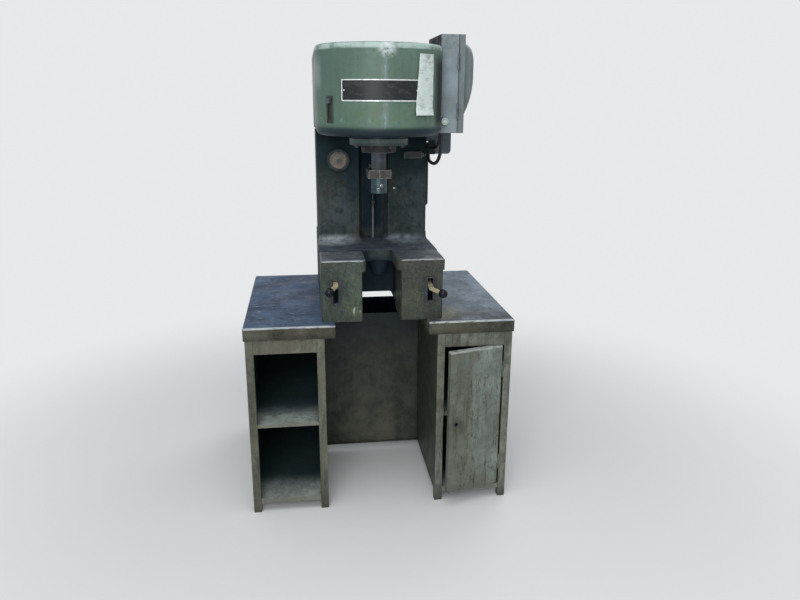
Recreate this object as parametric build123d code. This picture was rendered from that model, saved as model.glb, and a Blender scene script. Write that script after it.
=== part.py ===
"""Bench hydraulic press on its two-cabinet steel bench.

Millimetres, +Z up. The bench's feet stand on Z = 0, X = 0 is the middle of the
bench, and Y = 0 is the middle of the whole depth. Inside the functions Y is
counted from the front of the cabinets, and export_nodes moves every piece back.
"""
import os
from math import cos, radians, sin

from build123d import *

# Bench: two table tops on two cabinets, with a knee space between them
TABLE_HEIGHT = 711.0
TABLE_OUTER = 477.0
TABLE_INNER = 167.0
LEFT_TABLE_EXTRA = 6.0
TABLE_OVERHANG = 4.0
TABLE_SHEET = 3.0
TABLE_EDGE_R = 5.0
APRON = 45.0
CABINET_OUTER = 472.0
CABINET_INNER = 199.0
CABINET_DEPTH = 738.0
POST = 28.0
POST_WALL = 2.5
SHEET = 2.0
SHEET_INSET = 2.0
TOP_RAIL_DROP = 96.0
TOE_GAP = 34.0
BOTTOM_SHELF_TOP = 54.0
MID_SHELF_TOP = 350.0
MID_SHELF_LIP = 13.0
KNEE_PANEL_Y = 445.0
KNEE_PANEL_TOP = 612.0
KNEE_PANEL_BOTTOM = 30.0
KNEE_FLANGE = 15.0
BRIDGE_FLANGE = 20.0
BRIDGE_DEPTH = 250.0

# Cabinet door, hinged on the right post and standing ajar
DOOR_LEFT_GAP = 2.5
DOOR_TOP_GAP = 2.0
DOOR_BOTTOM_GAP = 5.0
DOOR_THICK = 18.0
DOOR_SHEET = 1.5
DOOR_AJAR = 15.2
HINGE_R = 3.0
HINGE_PIN_R = 1.5
HINGE_KNUCKLE = 20.0
HINGE_FROM_END = 60.0
HINGE_FIT = 0.05
RUN_GAP = 0.3
LOCK_HOLE_R = 6.0
LOCK_FROM_EDGE = 29.0
LOCK_HEIGHT = 333.0
LOCK_SCREW_R = 2.0
LOCK_SCREW_UP = 27.0
LOCK_SCREW_DOWN = 25.0
LOCK_SCREW_ASIDE = 2.5

# Press frame: base with a raised floor, and a column with a channel
PRESS_X = 11.0
PRESS_HALF = 216.0
BASE_FRONT = 195.0
PRESS_BACK = 734.0
BASE_HEIGHT = 218.0
BED_THICK = 40.0
BED_NOTCH_R = 75.0
BED_NOTCH_DEPTH = 21.0
TUNNEL_HALF = 73.0
TUNNEL_BACK = 355.0
FLOOR_LIFT = 20.0
RELIEF_HALF = 72.5
TANK_WALL = 12.0
TANK_FLOOR = 10.0
TANK_MOUTH_HALF = 150.0
TANK_MOUTH_HEIGHT = 120.0
TANK_COVER_LAP = 16.0
TANK_COVER_THICK = 4.0
COLUMN_INSET = 3.0
COLUMN_FRONT = 425.0
COLUMN_WALL = 12.0
COLUMN_CORNER_R = 12.0
FOOT_FILLET = 25.0
CHANNEL_X = 15.0
CHANNEL_WIDTH = 115.0
CHANNEL_BACK_WIDTH = 84.0
CHANNEL_DEPTH = 60.0
CHANNEL_FOOT_R = 15.0
BOSS_X = 17.0
BOSS_TOP_R = 50.0
BOSS_END_R = 24.0
BOSS_DROP = 65.0
BED_HOLE_R = 5.1
BED_HOLE_DEPTH = 25.0
BED_HOLE_X = 133.5
BED_HOLE_Y = 272.0
HOLD_DOWN_X = 186.0
HOLD_DOWN_FRONT = 400.0
HOLD_DOWN_BACK = 690.0
HOLD_DOWN_R = 6.0
HOLD_DOWN_REACH = 20.0
HOLD_DOWN_HEAD = 18.0
HOLD_DOWN_HEAD_HIGH = 8.0

# Head: round-fronted casting on the column
RAM_Y = 190.0
HEAD_BOTTOM = 1343.0
HEAD_TOP = 1634.0
HEAD_WALL = 10.0
HEAD_FLOOR = 30.0
HEAD_TOP_R = 12.0
HEAD_BOTTOM_R = 22.0
HEAD_BOSS_R = 95.0
HEAD_BOSS_DROP = 9.0
HEAD_PORT_HALF = 150.0
HEAD_PORT_FRONT = 520.0
HEAD_PORT_BACK = 712.0

# Cylinder, piston and ram
CYLINDER_R = 75.0
CYLINDER_TOP = 1560.0
CYLINDER_BORE_R = 50.8
CYLINDER_CAP = 18.0
FLANGE_R = 102.0
FLANGE_THICK = 23.0
FLANGE_NECK_R = 90.0
FLANGE_NECK = 2.0
FLANGE_BOLTS = 8
FLANGE_BOLT_CIRCLE_R = 84.0
FLANGE_BOLT_R = 5.0
FLANGE_BOLT_HEAD_R = 8.0
FLANGE_BOLT_IN = 10.0
GLAND_R = 63.0
GLAND_END_R = 60.0
GLAND_THICK = 25.0
GLAND_SPIGOT = 20.0
RUN_FIT = 0.05
PISTON_BOTTOM = 1440.0
PISTON_HEIGHT = 45.0
PISTON_GROOVE = 4.0
PISTON_NECK_R = 20.0
RAM_R = 26.5
RAM_NOSE_R = 15.0
RAM_NOSE = 22.0
ARM_BOTTOM = 1195.0
ARM_BLOCK = 82.0
ARM_THICK = 29.0
ARM_BAR_WIDTH = 24.0
ARM_BAR_THICK = 19.0
FORK_HALF = 15.0
FORK_FRONT = 14.0
FORK_BACK = 13.0
FORK_GAP = 1.5
ARM_SPLIT = 2.0
HOLDER_R = 28.5
HOLDER_HEIGHT = 55.0
HOLDER_BORE_R = 12.7
HOLDER_BORE = 28.0
HOLDER_SCREW_R = 4.0

# Stroke rod in the channel, its stops and the main valve
ROD_R = 4.75
ROD_Y = 455.0
ROD_FIT = 0.08
ROD_SEAT = 26.0
ROD_GUIDE = 36.0
ROD_TOP = 1400.0
STOP_R = 11.0
STOP_HEIGHT = 14.0
UPPER_STOP = 1288.0
LOWER_STOP = 1064.0
VALVE_HALF = 35.0
VALVE_FRONT = 420.0
VALVE_BACK = 500.0
VALVE_HEIGHT = 127.0
SPOOL_R = 8.0
SPOOL_LENGTH = 80.0
PIPE_R = 6.0

# Lever housings at the front, one each side of the gap
HOUSING_FRONT = 38.0
HOUSING_WALL = 7.0
HOUSING_TOP_WALL = 12.0
LEFT_HOUSING_INNER = -63.0
RIGHT_HOUSING_INNER = 73.0
HOUSING_LEDGE = 13.0
RIGHT_SIDE_INSET = 6.0
LEFT_LEDGE_R = 16.0
RIGHT_LEDGE_R = 32.0
HOUSING_TOP_R = 5.0
HOUSING_CORNER_R = 6.0
SLOT_DOWN = 69.0
SLOT_WIDTH = 19.0
SLOT_HEIGHT = 81.0
PLATE_WIDTH = 40.0
PLATE_HEIGHT = 92.0
PLATE_THICK = 3.0
PLATE_RIM = 1.5
PLATE_RIM_WIDTH = 3.0
PIVOT_Y = 110.0
PIVOT_R = 5.0
HUB_R = 10.0
HUB_WIDTH = 26.0
LEVER_WIDTH = 16.0
LEVER_THICK = 6.0
LEVER_BEND_Y = 8.0
LEVER_TAIL = 26.0
KNOB_R = 16.0
KNOB_STUD_R = 4.0
KNOB_STUD = 12.0
LEFT_LEVER_X = -156.0
LEFT_KNOB_X = -180.0
LEFT_PIVOT_DOWN = 16.0
LEFT_DROOP = 14.7
RIGHT_LEVER_X = 175.5
RIGHT_KNOB_X = 209.0
RIGHT_PIVOT_DOWN = 39.0
RIGHT_DROOP = 11.6
KNOB_Y = -31.0
SPRING_WIRE_R = 1.5
SPRING_CLEAR = 0.05
SPRING_TURNS = 6

# Gauge and pressure valve on the column
GAUGE_X = -120.0
GAUGE_Z = 1237.0
GAUGE_R = 45.0
DIAL_R = 36.0
GAUGE_PROUD = 14.0
DIAL_DEPTH = 7.0
DIAL_THICK = 1.0
NEEDLE_LENGTH = 26.0
NEEDLE_WIDTH = 3.0
NEEDLE_PIN_R = 1.5
GLASS_THICK = 1.5
VALVE_BLOCK_X = 165.5
VALVE_BLOCK_Z = 1256.5
VALVE_BLOCK_WIDTH = 71.0
VALVE_BLOCK_HIGH = 27.0
VALVE_BLOCK_PROUD = 22.0
ADJUSTER_R = 5.0
ADJUSTER_REACH = 17.0
LOCKNUT = 17.0
LOCKNUT_THICK = 6.0

# Selector on the head's left front
SELECTOR_ANGLE = 53.0
SELECTOR_Z = 1429.0
SELECTOR_WIDTH = 32.0
SELECTOR_HEIGHT = 84.0
SELECTOR_THICK = 3.5
SELECTOR_SEAT = 1.5
SELECTOR_SLOT = 12.0
SELECTOR_SLOT_HEIGHT = 66.0
TAB_STEM = 11.0
TAB_STEM_HEIGHT = 12.0
TAB_WIDTH = 18.0
TAB_HEIGHT = 16.0
TAB_PROUD = 9.0
TAB_KEEPER = 24.0
TAB_KEEPER_THICK = 3.0

# Switch box on the head's right side
BOX_WIDTH = 63.0
BOX_DEPTH = 245.0
BOX_BOTTOM = 1348.0
BOX_TOP = 1676.0
BOX_SHEET = 2.0
COVER_DEPTH = 22.0
COVER_GAP = 0.3
BOX_HINGE_R = 3.5
BOX_HINGE_PIN_R = 1.6
BOX_HINGE_OUT = 3.8
BOX_HINGE_KNUCKLE = 18.0
BOX_HINGE_Z = (1395.0, 1560.0)
DOME_BOTTOM = 1383.0
DOME_HEIGHT = 272.0
DOME_WIDTH = 190.0
DOME_DEPTH = 46.0
# Share of the depth, then how far the bottom, top and sides draw in there
DOME_SECTIONS = (
    (0.0, 0.0, 0.0, 0.0),
    (0.52, 45.0, 7.0, 7.0),
    (0.87, 95.0, 25.0, 23.0),
    (1.0, 137.0, 51.0, 49.0),
)
BUSHING_BORE_R = 9.0
BUSHING_R = 12.5
BUSHING_HEAD_R = 16.0
BUSHING_HEAD = 8.0
BUSHING_LENGTH = 24.0
BUSHING_X_IN = 32.0
BUSHING_DOWN = 60.0
BUTTON_R = 12.5
BUTTON_PROUD = 8.0
BUTTON_STEM_R = 9.0
BUTTON_STEM = 14.0
BUTTON_X_IN = 17.0
BUTTON_Z_UP = 40.0
STARTER_SIZE = (40.0, 120.0, 150.0)
STARTER_UP = 90.0
BRACKET_THICK = 6.0
BRACKET_Y = 437.0
BRACKET_WIDTH = 96.0
BRACKET_DROP = 90.0
BRACKET_NOTCH = 30.0
BRACKET_NOTCH_TOP = 42.0
BRACKET_FLANGE = 30.0
BRACKET_CORNER_R = 14.0
JUNCTION_SIZE = (24.0, 36.0, 38.0)
JUNCTION_Y = 446.0
JUNCTION_Z = 1262.0
CONDUIT_R = 6.5
CONDUIT_OUT = 12.0
CONDUIT_LEAN = 8.0
CONDUIT_FIRST = 44.0
CONDUIT_PITCH = 34.0
OUTER_DROP = 58.0
OUTER_SWING = 66.0
INNER_DROP = 33.0
INNER_SWING = 50.0
CONDUIT_DIP = 36.0
CABLE_R = 5.0
CABLE_DROP = 206.0

# Motor and pump behind the column, and the rear covers
MOTOR_Y = 615.0
MOTOR_R = 84.0
MOTOR_FINS = 16
MOTOR_FIN = 6.0
MOTOR_FIN_THICK = 4.0
MOTOR_BELL_R = 66.0
MOTOR_BELL = 60.0
MOTOR_BODY = 215.0
MOTOR_BORE_R = 60.0
ROTOR_R = 55.0
SHAFT_R = 11.0
FAN_COVER = 45.0
FAN_R = 66.0
FAN_BLADES = 6
COUPLING_R = 26.0
COUPLING_HALF = 16.0
COUPLING_SPIDER = 6.0
PUMP_R = 52.0
PUMP_HEIGHT = 80.0
PUMP_SHAFT_R = 9.0
STRAINER_R = 26.0
STRAINER = 46.0
COVER_SHEET = 2.0
LOUVRE_WIDTH = 120.0
LOUVRE_PITCH = 26.0
LOUVRE_PROUD = 5.0
LOUVRE_HIGH = 14.0
LOUVRE_SIDE = 22.0
LOWER_LOUVRE_COUNT = 8
UPPER_LOUVRE_COUNT = 5
LOWER_LOUVRE_UP = 60.0
UPPER_LOUVRE_UP = 80.0
COVER_EDGE = 2.0

# Places that follow from the sizes above
TABLE_DEPTH = CABINET_DEPTH + 2 * TABLE_OVERHANG
BED_TOP = TABLE_HEIGHT + BASE_HEIGHT
BED_UNDER = BED_TOP - BED_THICK
SLOT_Z = BED_UNDER - SLOT_DOWN
LEFT_PIVOT_Z = BED_UNDER - LEFT_PIVOT_DOWN
RIGHT_PIVOT_Z = BED_UNDER - RIGHT_PIVOT_DOWN
ROD_BOTTOM = BED_TOP - ROD_SEAT
COLUMN_HALF = PRESS_HALF - COLUMN_INSET
COLUMN_RIGHT = PRESS_X + COLUMN_HALF
HEAD_RIGHT = PRESS_X + PRESS_HALF
POST_TOP = TABLE_HEIGHT - TABLE_SHEET
RAIL_BOTTOM = POST_TOP - TOP_RAIL_DROP + TABLE_SHEET
PANEL_INNER = CABINET_INNER + SHEET_INSET
PANEL_OUTER = CABINET_OUTER - SHEET_INSET
CHANNEL_BACK = COLUMN_FRONT + CHANNEL_DEPTH
FLANGE_TOP = HEAD_BOTTOM - HEAD_BOSS_DROP - FLANGE_NECK
FLANGE_BOTTOM = FLANGE_TOP - FLANGE_THICK
HINGE_X = CABINET_OUTER - POST - HINGE_R
DOOR_RIGHT = HINGE_X - HINGE_R - HINGE_FIT * 10
DOOR_LEFT = CABINET_INNER + POST + DOOR_LEFT_GAP
DOOR_BOTTOM = BOTTOM_SHELF_TOP + DOOR_BOTTOM_GAP
DOOR_TOP = RAIL_BOTTOM - DOOR_TOP_GAP
BOX_FRONT = RAM_Y
BOX_RIGHT = HEAD_RIGHT + BOX_WIDTH
BOX_BACK = BOX_FRONT + BOX_DEPTH
BOX_HINGE_Y = BOX_FRONT - BOX_HINGE_OUT
FRONT_REACH = -(HINGE_X - DOOR_LEFT) * sin(radians(DOOR_AJAR))
BACK_REACH = TABLE_DEPTH - TABLE_OVERHANG
MIDDLE_Y = (FRONT_REACH + BACK_REACH) / 2


def block(x0, x1, y0, y1, z0, z1):
    """A box between two corners."""
    middle = ((x0 + x1) / 2, (y0 + y1) / 2, (z0 + z1) / 2)
    return Pos(*middle) * Box(abs(x1 - x0), abs(y1 - y0), abs(z1 - z0))


def upright(x, y, z0, z1, r):
    """A vertical cylinder."""
    return Pos(x, y, (z0 + z1) / 2) * Cylinder(r, z1 - z0)


def along_x(x0, x1, y, z, r):
    """A cylinder along X."""
    return Pos((x0 + x1) / 2, y, z) * Rot(0, 90, 0) * Cylinder(r, x1 - x0)


def along_y(x, y0, y1, z, r):
    """A cylinder along Y."""
    return Pos(x, (y0 + y1) / 2, z) * Rot(90, 0, 0) * Cylinder(r, y1 - y0)


def hexagon(across, height):
    """A hexagonal prism with its base on the origin's plane."""
    outline = RegularPolygon(across / 2, 6, major_radius=False)
    return extrude(outline, height)


def mirrored(shape):
    """The same piece on the other side of the bench."""
    return mirror(shape, about=Plane.YZ)


# Bench

def table_top(side):
    """A folded sheet top with an apron all round."""
    y0 = -TABLE_OVERHANG
    y1 = y0 + TABLE_DEPTH
    z0 = TABLE_HEIGHT - APRON
    x0 = TABLE_INNER if side > 0 else TABLE_INNER - LEFT_TABLE_EXTRA
    top = block(x0, TABLE_OUTER, y0, y1, z0, TABLE_HEIGHT)
    folds = top.edges().filter_by(Axis.Z) + top.faces().sort_by(Axis.Z)[-1].edges()
    top = fillet(folds, TABLE_EDGE_R)
    inside = block(x0 + TABLE_SHEET, TABLE_OUTER - TABLE_SHEET,
                   y0 + TABLE_SHEET, y1 - TABLE_SHEET, z0 - 1, TABLE_HEIGHT - TABLE_SHEET)
    inside = fillet(inside.edges().filter_by(Axis.Z), TABLE_EDGE_R - TABLE_SHEET)
    top = top - inside
    if side < 0:
        top = mirrored(top)
    for y in (HOLD_DOWN_FRONT, HOLD_DOWN_BACK):
        top = top - upright(side * HOLD_DOWN_X, y, z0, TABLE_HEIGHT + 1, HOLD_DOWN_R + 0.5)
    return top


def cabinet_posts():
    """Outlines of the four corner posts of the right cabinet."""
    corners = []
    for x in (CABINET_INNER, CABINET_OUTER - POST):
        for y in (0, CABINET_DEPTH - POST):
            corners.append((x, y))
    return corners


def cabinet(side):
    """Welded carcass: four tube posts, side and back sheets, front top rail."""
    body = block(PANEL_INNER, PANEL_INNER + SHEET, POST, CABINET_DEPTH - POST, TOE_GAP, POST_TOP)
    body += block(PANEL_OUTER - SHEET, PANEL_OUTER, POST, CABINET_DEPTH - POST, TOE_GAP, POST_TOP)
    back = CABINET_DEPTH - SHEET_INSET
    left = CABINET_INNER + POST
    right = CABINET_OUTER - POST
    body += block(left, right, back - SHEET, back, TOE_GAP, POST_TOP)
    body += block(left, right, SHEET_INSET, SHEET_INSET + TABLE_SHEET, RAIL_BOTTOM, POST_TOP)
    for x, y in cabinet_posts():
        tube = block(x, x + POST, y, y + POST, 0, POST_TOP)
        tube = fillet(tube.edges().filter_by(Axis.Z), POST_WALL)
        core = block(x + POST_WALL, x + POST - POST_WALL,
                     y + POST_WALL, y + POST - POST_WALL, -1, POST_TOP + 1)
        body += tube - core
    if side < 0:
        return mirrored(body)
    for z in door_hinge_places():
        body += fixed_knuckles(z)
    return body


def shelf(side, top, lip, front):
    """A folded shelf that is notched round the posts."""
    back = CABINET_DEPTH - SHEET_INSET - SHEET
    plate = block(PANEL_INNER + SHEET, PANEL_OUTER - SHEET, front, back, top - SHEET, top)
    left = CABINET_INNER + POST
    right = CABINET_OUTER - POST
    for x, y in cabinet_posts():
        plate = plate - block(x, x + POST, y, y + POST, top - lip, top + 1)
    plate += block(left, right, front, front + SHEET, top - lip, top)
    if side < 0:
        return mirrored(plate)
    return plate


def knee_panel():
    """Back panel of the knee space, with its foot folded forwards."""
    y = KNEE_PANEL_Y
    panel = block(-PANEL_INNER, PANEL_INNER, y, y + SHEET, KNEE_PANEL_BOTTOM, KNEE_PANEL_TOP)
    foot = block(-PANEL_INNER, PANEL_INNER, y - KNEE_FLANGE, y,
                 KNEE_PANEL_BOTTOM, KNEE_PANEL_BOTTOM + SHEET)
    return panel + foot


def bridge_shelf():
    """Sheet behind the knee panel that joins the two cabinets."""
    front = KNEE_PANEL_Y + SHEET
    back = front + BRIDGE_DEPTH
    top = KNEE_PANEL_TOP
    plate = block(-PANEL_INNER, PANEL_INNER, front, back, top - SHEET, top)
    for x in (-PANEL_INNER, PANEL_INNER - SHEET):
        plate += block(x, x + SHEET, front, back, top - BRIDGE_FLANGE, top)
    plate += block(-PANEL_INNER, PANEL_INNER, back - SHEET, back, top - BRIDGE_FLANGE, top)
    return plate


# Cabinet door

def door_hinge_places():
    """Lower ends of the two hinges."""
    return (DOOR_BOTTOM + HINGE_FROM_END,
            DOOR_TOP - HINGE_FROM_END - 3 * HINGE_KNUCKLE)


def knuckle(z, length, leaf_to, leaf_depth):
    """One hinge knuckle with its leaf, bored for the pin."""
    barrel = upright(HINGE_X, 0, z, z + length, HINGE_R)
    leaf = block(HINGE_X, leaf_to, 0, leaf_depth, z, z + length)
    bore = upright(HINGE_X, 0, z - 1, z + length + 1, HINGE_PIN_R + HINGE_FIT)
    return barrel + leaf - bore


def fixed_knuckles(z):
    """The two knuckles that are welded to the post."""
    into_post = CABINET_OUTER - POST + 2 * POST_WALL
    leaf = HINGE_R - HINGE_FIT * 10
    low = knuckle(z, HINGE_KNUCKLE, into_post, leaf)
    high = knuckle(z + 2 * HINGE_KNUCKLE, HINGE_KNUCKLE, into_post, leaf)
    return low + high


def cabinet_door():
    """Folded pan door with its middle knuckles, swung ajar about the hinge."""
    pan = block(DOOR_LEFT, DOOR_RIGHT, 0, DOOR_THICK, DOOR_BOTTOM, DOOR_TOP)
    inside = block(DOOR_LEFT + DOOR_SHEET, DOOR_RIGHT - DOOR_SHEET,
                   DOOR_SHEET, DOOR_THICK + 1,
                   DOOR_BOTTOM + DOOR_SHEET, DOOR_TOP - DOOR_SHEET)
    pan = pan - inside
    lock_x = DOOR_LEFT + LOCK_FROM_EDGE
    pan = pan - along_y(lock_x, -1, DOOR_THICK, LOCK_HEIGHT, LOCK_HOLE_R)
    for dx, dz in ((LOCK_SCREW_ASIDE, LOCK_SCREW_UP), (-LOCK_SCREW_ASIDE, -LOCK_SCREW_DOWN)):
        pan = pan - along_y(lock_x + dx, -1, DOOR_THICK, LOCK_HEIGHT + dz, LOCK_SCREW_R)
    leaf = HINGE_R - HINGE_FIT * 10
    for z in door_hinge_places():
        start = z + HINGE_KNUCKLE + RUN_GAP
        length = HINGE_KNUCKLE - 2 * RUN_GAP
        pan += knuckle(start, length, DOOR_RIGHT - DOOR_SHEET, leaf)
    axis = Axis((HINGE_X, 0, 0), (0, 0, 1))
    return pan.rotate(axis, DOOR_AJAR)


def door_hinge_pins():
    """Two plain pins in the door's hinges."""
    pins = []
    for z in door_hinge_places():
        pins.append(upright(HINGE_X, 0, z, z + 3 * HINGE_KNUCKLE, HINGE_PIN_R))
    return pins


# Press frame

def arched_relief():
    """Low flat-topped arch that runs back under the base."""
    z0 = TABLE_HEIGHT - 1
    z1 = TABLE_HEIGHT + FLOOR_LIFT
    y0 = BASE_FRONT - 1
    space = block(PRESS_X - RELIEF_HALF, PRESS_X + RELIEF_HALF, y0, PRESS_BACK + 1, z0, z1)
    corners = space.edges().filter_by(Axis.Y).group_by(Axis.Z)[-1]
    return fillet(corners, FLOOR_LIFT * 0.8)


def press_base():
    """Hollow base: bed, tank, tunnel between the housings and raised floor."""
    x0 = PRESS_X - PRESS_HALF
    x1 = PRESS_X + PRESS_HALF
    base = block(x0, x1, BASE_FRONT, PRESS_BACK, TABLE_HEIGHT, BED_TOP)
    base = fillet(base.edges().filter_by(Axis.Z).group_by(Axis.Y)[-1], COLUMN_CORNER_R)
    base = base - block(PRESS_X - TUNNEL_HALF, PRESS_X + TUNNEL_HALF,
                        BASE_FRONT - 1, TUNNEL_BACK, TABLE_HEIGHT - 1, BED_UNDER)
    base = base - arched_relief()
    tank_floor = TABLE_HEIGHT + FLOOR_LIFT + TANK_FLOOR
    base = base - block(x0 + TANK_WALL, x1 - TANK_WALL, TUNNEL_BACK + TANK_WALL,
                        PRESS_BACK - TANK_WALL, tank_floor, BED_UNDER)
    mouth = (tank_floor + BED_UNDER) / 2
    base = base - block(PRESS_X - TANK_MOUTH_HALF, PRESS_X + TANK_MOUTH_HALF,
                        PRESS_BACK - TANK_WALL - 1, PRESS_BACK + 1,
                        mouth - TANK_MOUTH_HEIGHT / 2, mouth + TANK_MOUTH_HEIGHT / 2)
    for side in (-1, 1):
        near = PRESS_X + side * (TUNNEL_HALF + TANK_WALL)
        far = PRESS_X + side * (PRESS_HALF - TANK_WALL)
        base = base - block(near, far, BASE_FRONT + TANK_WALL, TUNNEL_BACK,
                            TABLE_HEIGHT - 1, BED_UNDER)
    notch_y = BASE_FRONT + BED_NOTCH_DEPTH - BED_NOTCH_R
    return base - upright(PRESS_X, notch_y, BED_UNDER - 1, BED_TOP + 1, BED_NOTCH_R)


def tank_cover():
    """Plate over the tank's mouth at the back of the base."""
    middle = (TABLE_HEIGHT + FLOOR_LIFT + TANK_FLOOR + BED_UNDER) / 2
    half = TANK_MOUTH_HALF + TANK_COVER_LAP
    high = TANK_MOUTH_HEIGHT / 2 + TANK_COVER_LAP
    plate = block(PRESS_X - half, PRESS_X + half, PRESS_BACK, PRESS_BACK + TANK_COVER_THICK,
                  middle - high, middle + high)
    return fillet(plate.edges().filter_by(Axis.Y), TANK_COVER_LAP / 2)


def bed_boss():
    """Tapered boss under the bed, below the ram."""
    y = BASE_FRONT + BED_NOTCH_DEPTH + BOSS_TOP_R
    boss = Cone(BOSS_END_R, BOSS_TOP_R, BOSS_DROP)
    boss = fillet(boss.edges().group_by(Axis.Z)[0], BOSS_END_R * 0.5)
    return Pos(BOSS_X, y, BED_UNDER - BOSS_DROP / 2) * boss


def channel(front, wall, z0, z1):
    """Tapered channel in the column's front, or its wall when wall is more than 0."""
    half = CHANNEL_WIDTH / 2 + wall
    back_half = CHANNEL_BACK_WIDTH / 2 + wall
    back = CHANNEL_BACK + wall
    points = [(-half, front), (half, front), (half, COLUMN_FRONT + wall),
              (back_half, back), (-back_half, back), (-half, COLUMN_FRONT + wall)]
    outline = make_face(Polyline(*points, close=True))
    return Pos(CHANNEL_X, 0, z0) * extrude(outline, z1 - z0)


def channel_cut():
    """The channel's space, with its two lower corners rounded."""
    space = channel(COLUMN_FRONT - FOOT_FILLET - 1, 0, BED_TOP, HEAD_BOTTOM + 1)
    low = space.faces().sort_by(Axis.Z)[0].edges()
    sides = low.filter_by(lambda edge: abs(edge.tangent_at(0.5).Y) > 0.5)
    return fillet(sides, CHANNEL_FOOT_R)


def column():
    """Hollow column, open at the back, with the channel in front."""
    x0 = PRESS_X - COLUMN_HALF
    x1 = PRESS_X + COLUMN_HALF
    post = block(x0, x1, COLUMN_FRONT, PRESS_BACK, BED_TOP, HEAD_BOTTOM)
    post = fillet(post.edges().filter_by(Axis.Z), COLUMN_CORNER_R)
    post = post - block(x0 + COLUMN_WALL, x1 - COLUMN_WALL, COLUMN_FRONT + COLUMN_WALL,
                        PRESS_BACK + 1, BED_TOP, HEAD_BOTTOM + 1)
    return post + channel(COLUMN_FRONT + COLUMN_WALL / 2, COLUMN_WALL, BED_TOP, HEAD_BOTTOM)


def foot_fillet():
    """Hollow curve where the column rises from the bed."""
    y1 = COLUMN_FRONT
    y0 = y1 - FOOT_FILLET
    z1 = BED_TOP + FOOT_FILLET
    bar = block(PRESS_X - COLUMN_HALF, PRESS_X + COLUMN_HALF, y0, y1 + COLUMN_CORNER_R,
                BED_TOP, z1)
    bar = fillet(bar.edges().filter_by(Axis.Z).group_by(Axis.Y)[-1], COLUMN_CORNER_R * 0.9)
    hollow = along_x(PRESS_X - PRESS_HALF, PRESS_X + PRESS_HALF, y0, z1, FOOT_FILLET)
    return bar - hollow


def press_frame():
    """Base and column as one casting, with its drilled holes."""
    frame = press_base() + column() + foot_fillet() + bed_boss()
    frame = frame - channel_cut()
    for x in (-BED_HOLE_X, BED_HOLE_X):
        frame = frame - upright(PRESS_X + x, BED_HOLE_Y, BED_TOP - BED_HOLE_DEPTH, BED_TOP + 1,
                                BED_HOLE_R)
    for x in (-HOLD_DOWN_X, HOLD_DOWN_X):
        for y in (HOLD_DOWN_FRONT, HOLD_DOWN_BACK):
            frame = frame - upright(x, y, TABLE_HEIGHT - 1,
                                    TABLE_HEIGHT + HOLD_DOWN_REACH + 1, HOLD_DOWN_R + RUN_FIT)
    frame = frame - upright(CHANNEL_X, ROD_Y, BED_TOP - ROD_GUIDE, BED_TOP + 1, ROD_R + ROD_FIT)
    return frame - upright(PRESS_X, MOTOR_Y, BED_UNDER - 1, BED_TOP + 1, PUMP_SHAFT_R + RUN_GAP)


def hold_down_bolts():
    """Four hexagon bolts up through the table tops into the base."""
    bolts = []
    under = TABLE_HEIGHT - TABLE_SHEET
    for x in (-HOLD_DOWN_X, HOLD_DOWN_X):
        for y in (HOLD_DOWN_FRONT, HOLD_DOWN_BACK):
            head = Pos(x, y, under - HOLD_DOWN_HEAD_HIGH) * hexagon(HOLD_DOWN_HEAD,
                                                                    HOLD_DOWN_HEAD_HIGH)
            bolts.append(head + upright(x, y, under, TABLE_HEIGHT + HOLD_DOWN_REACH,
                                        HOLD_DOWN_R))
    return bolts


# Head

def head_outline(inset, back):
    """D shape in plan: a half circle round the ram with straight sides behind it."""
    half = PRESS_HALF - inset
    depth = back - RAM_Y
    side_part = Pos(0, depth / 2) * Rectangle(2 * half, depth)
    return Pos(PRESS_X, RAM_Y) * (Circle(half) + side_part)


def selector_place():
    """Frame of the selector's seat: X across it, Y up and Z outwards."""
    angle = radians(SELECTOR_ANGLE)
    out = Vector(-sin(angle), -cos(angle), 0)
    across = Vector(cos(angle), -sin(angle), 0)
    reach = PRESS_HALF - SELECTOR_SEAT
    origin = Vector(PRESS_X, RAM_Y, SELECTOR_Z) + out * reach
    return Plane(origin=origin, x_dir=across, z_dir=out)


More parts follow.
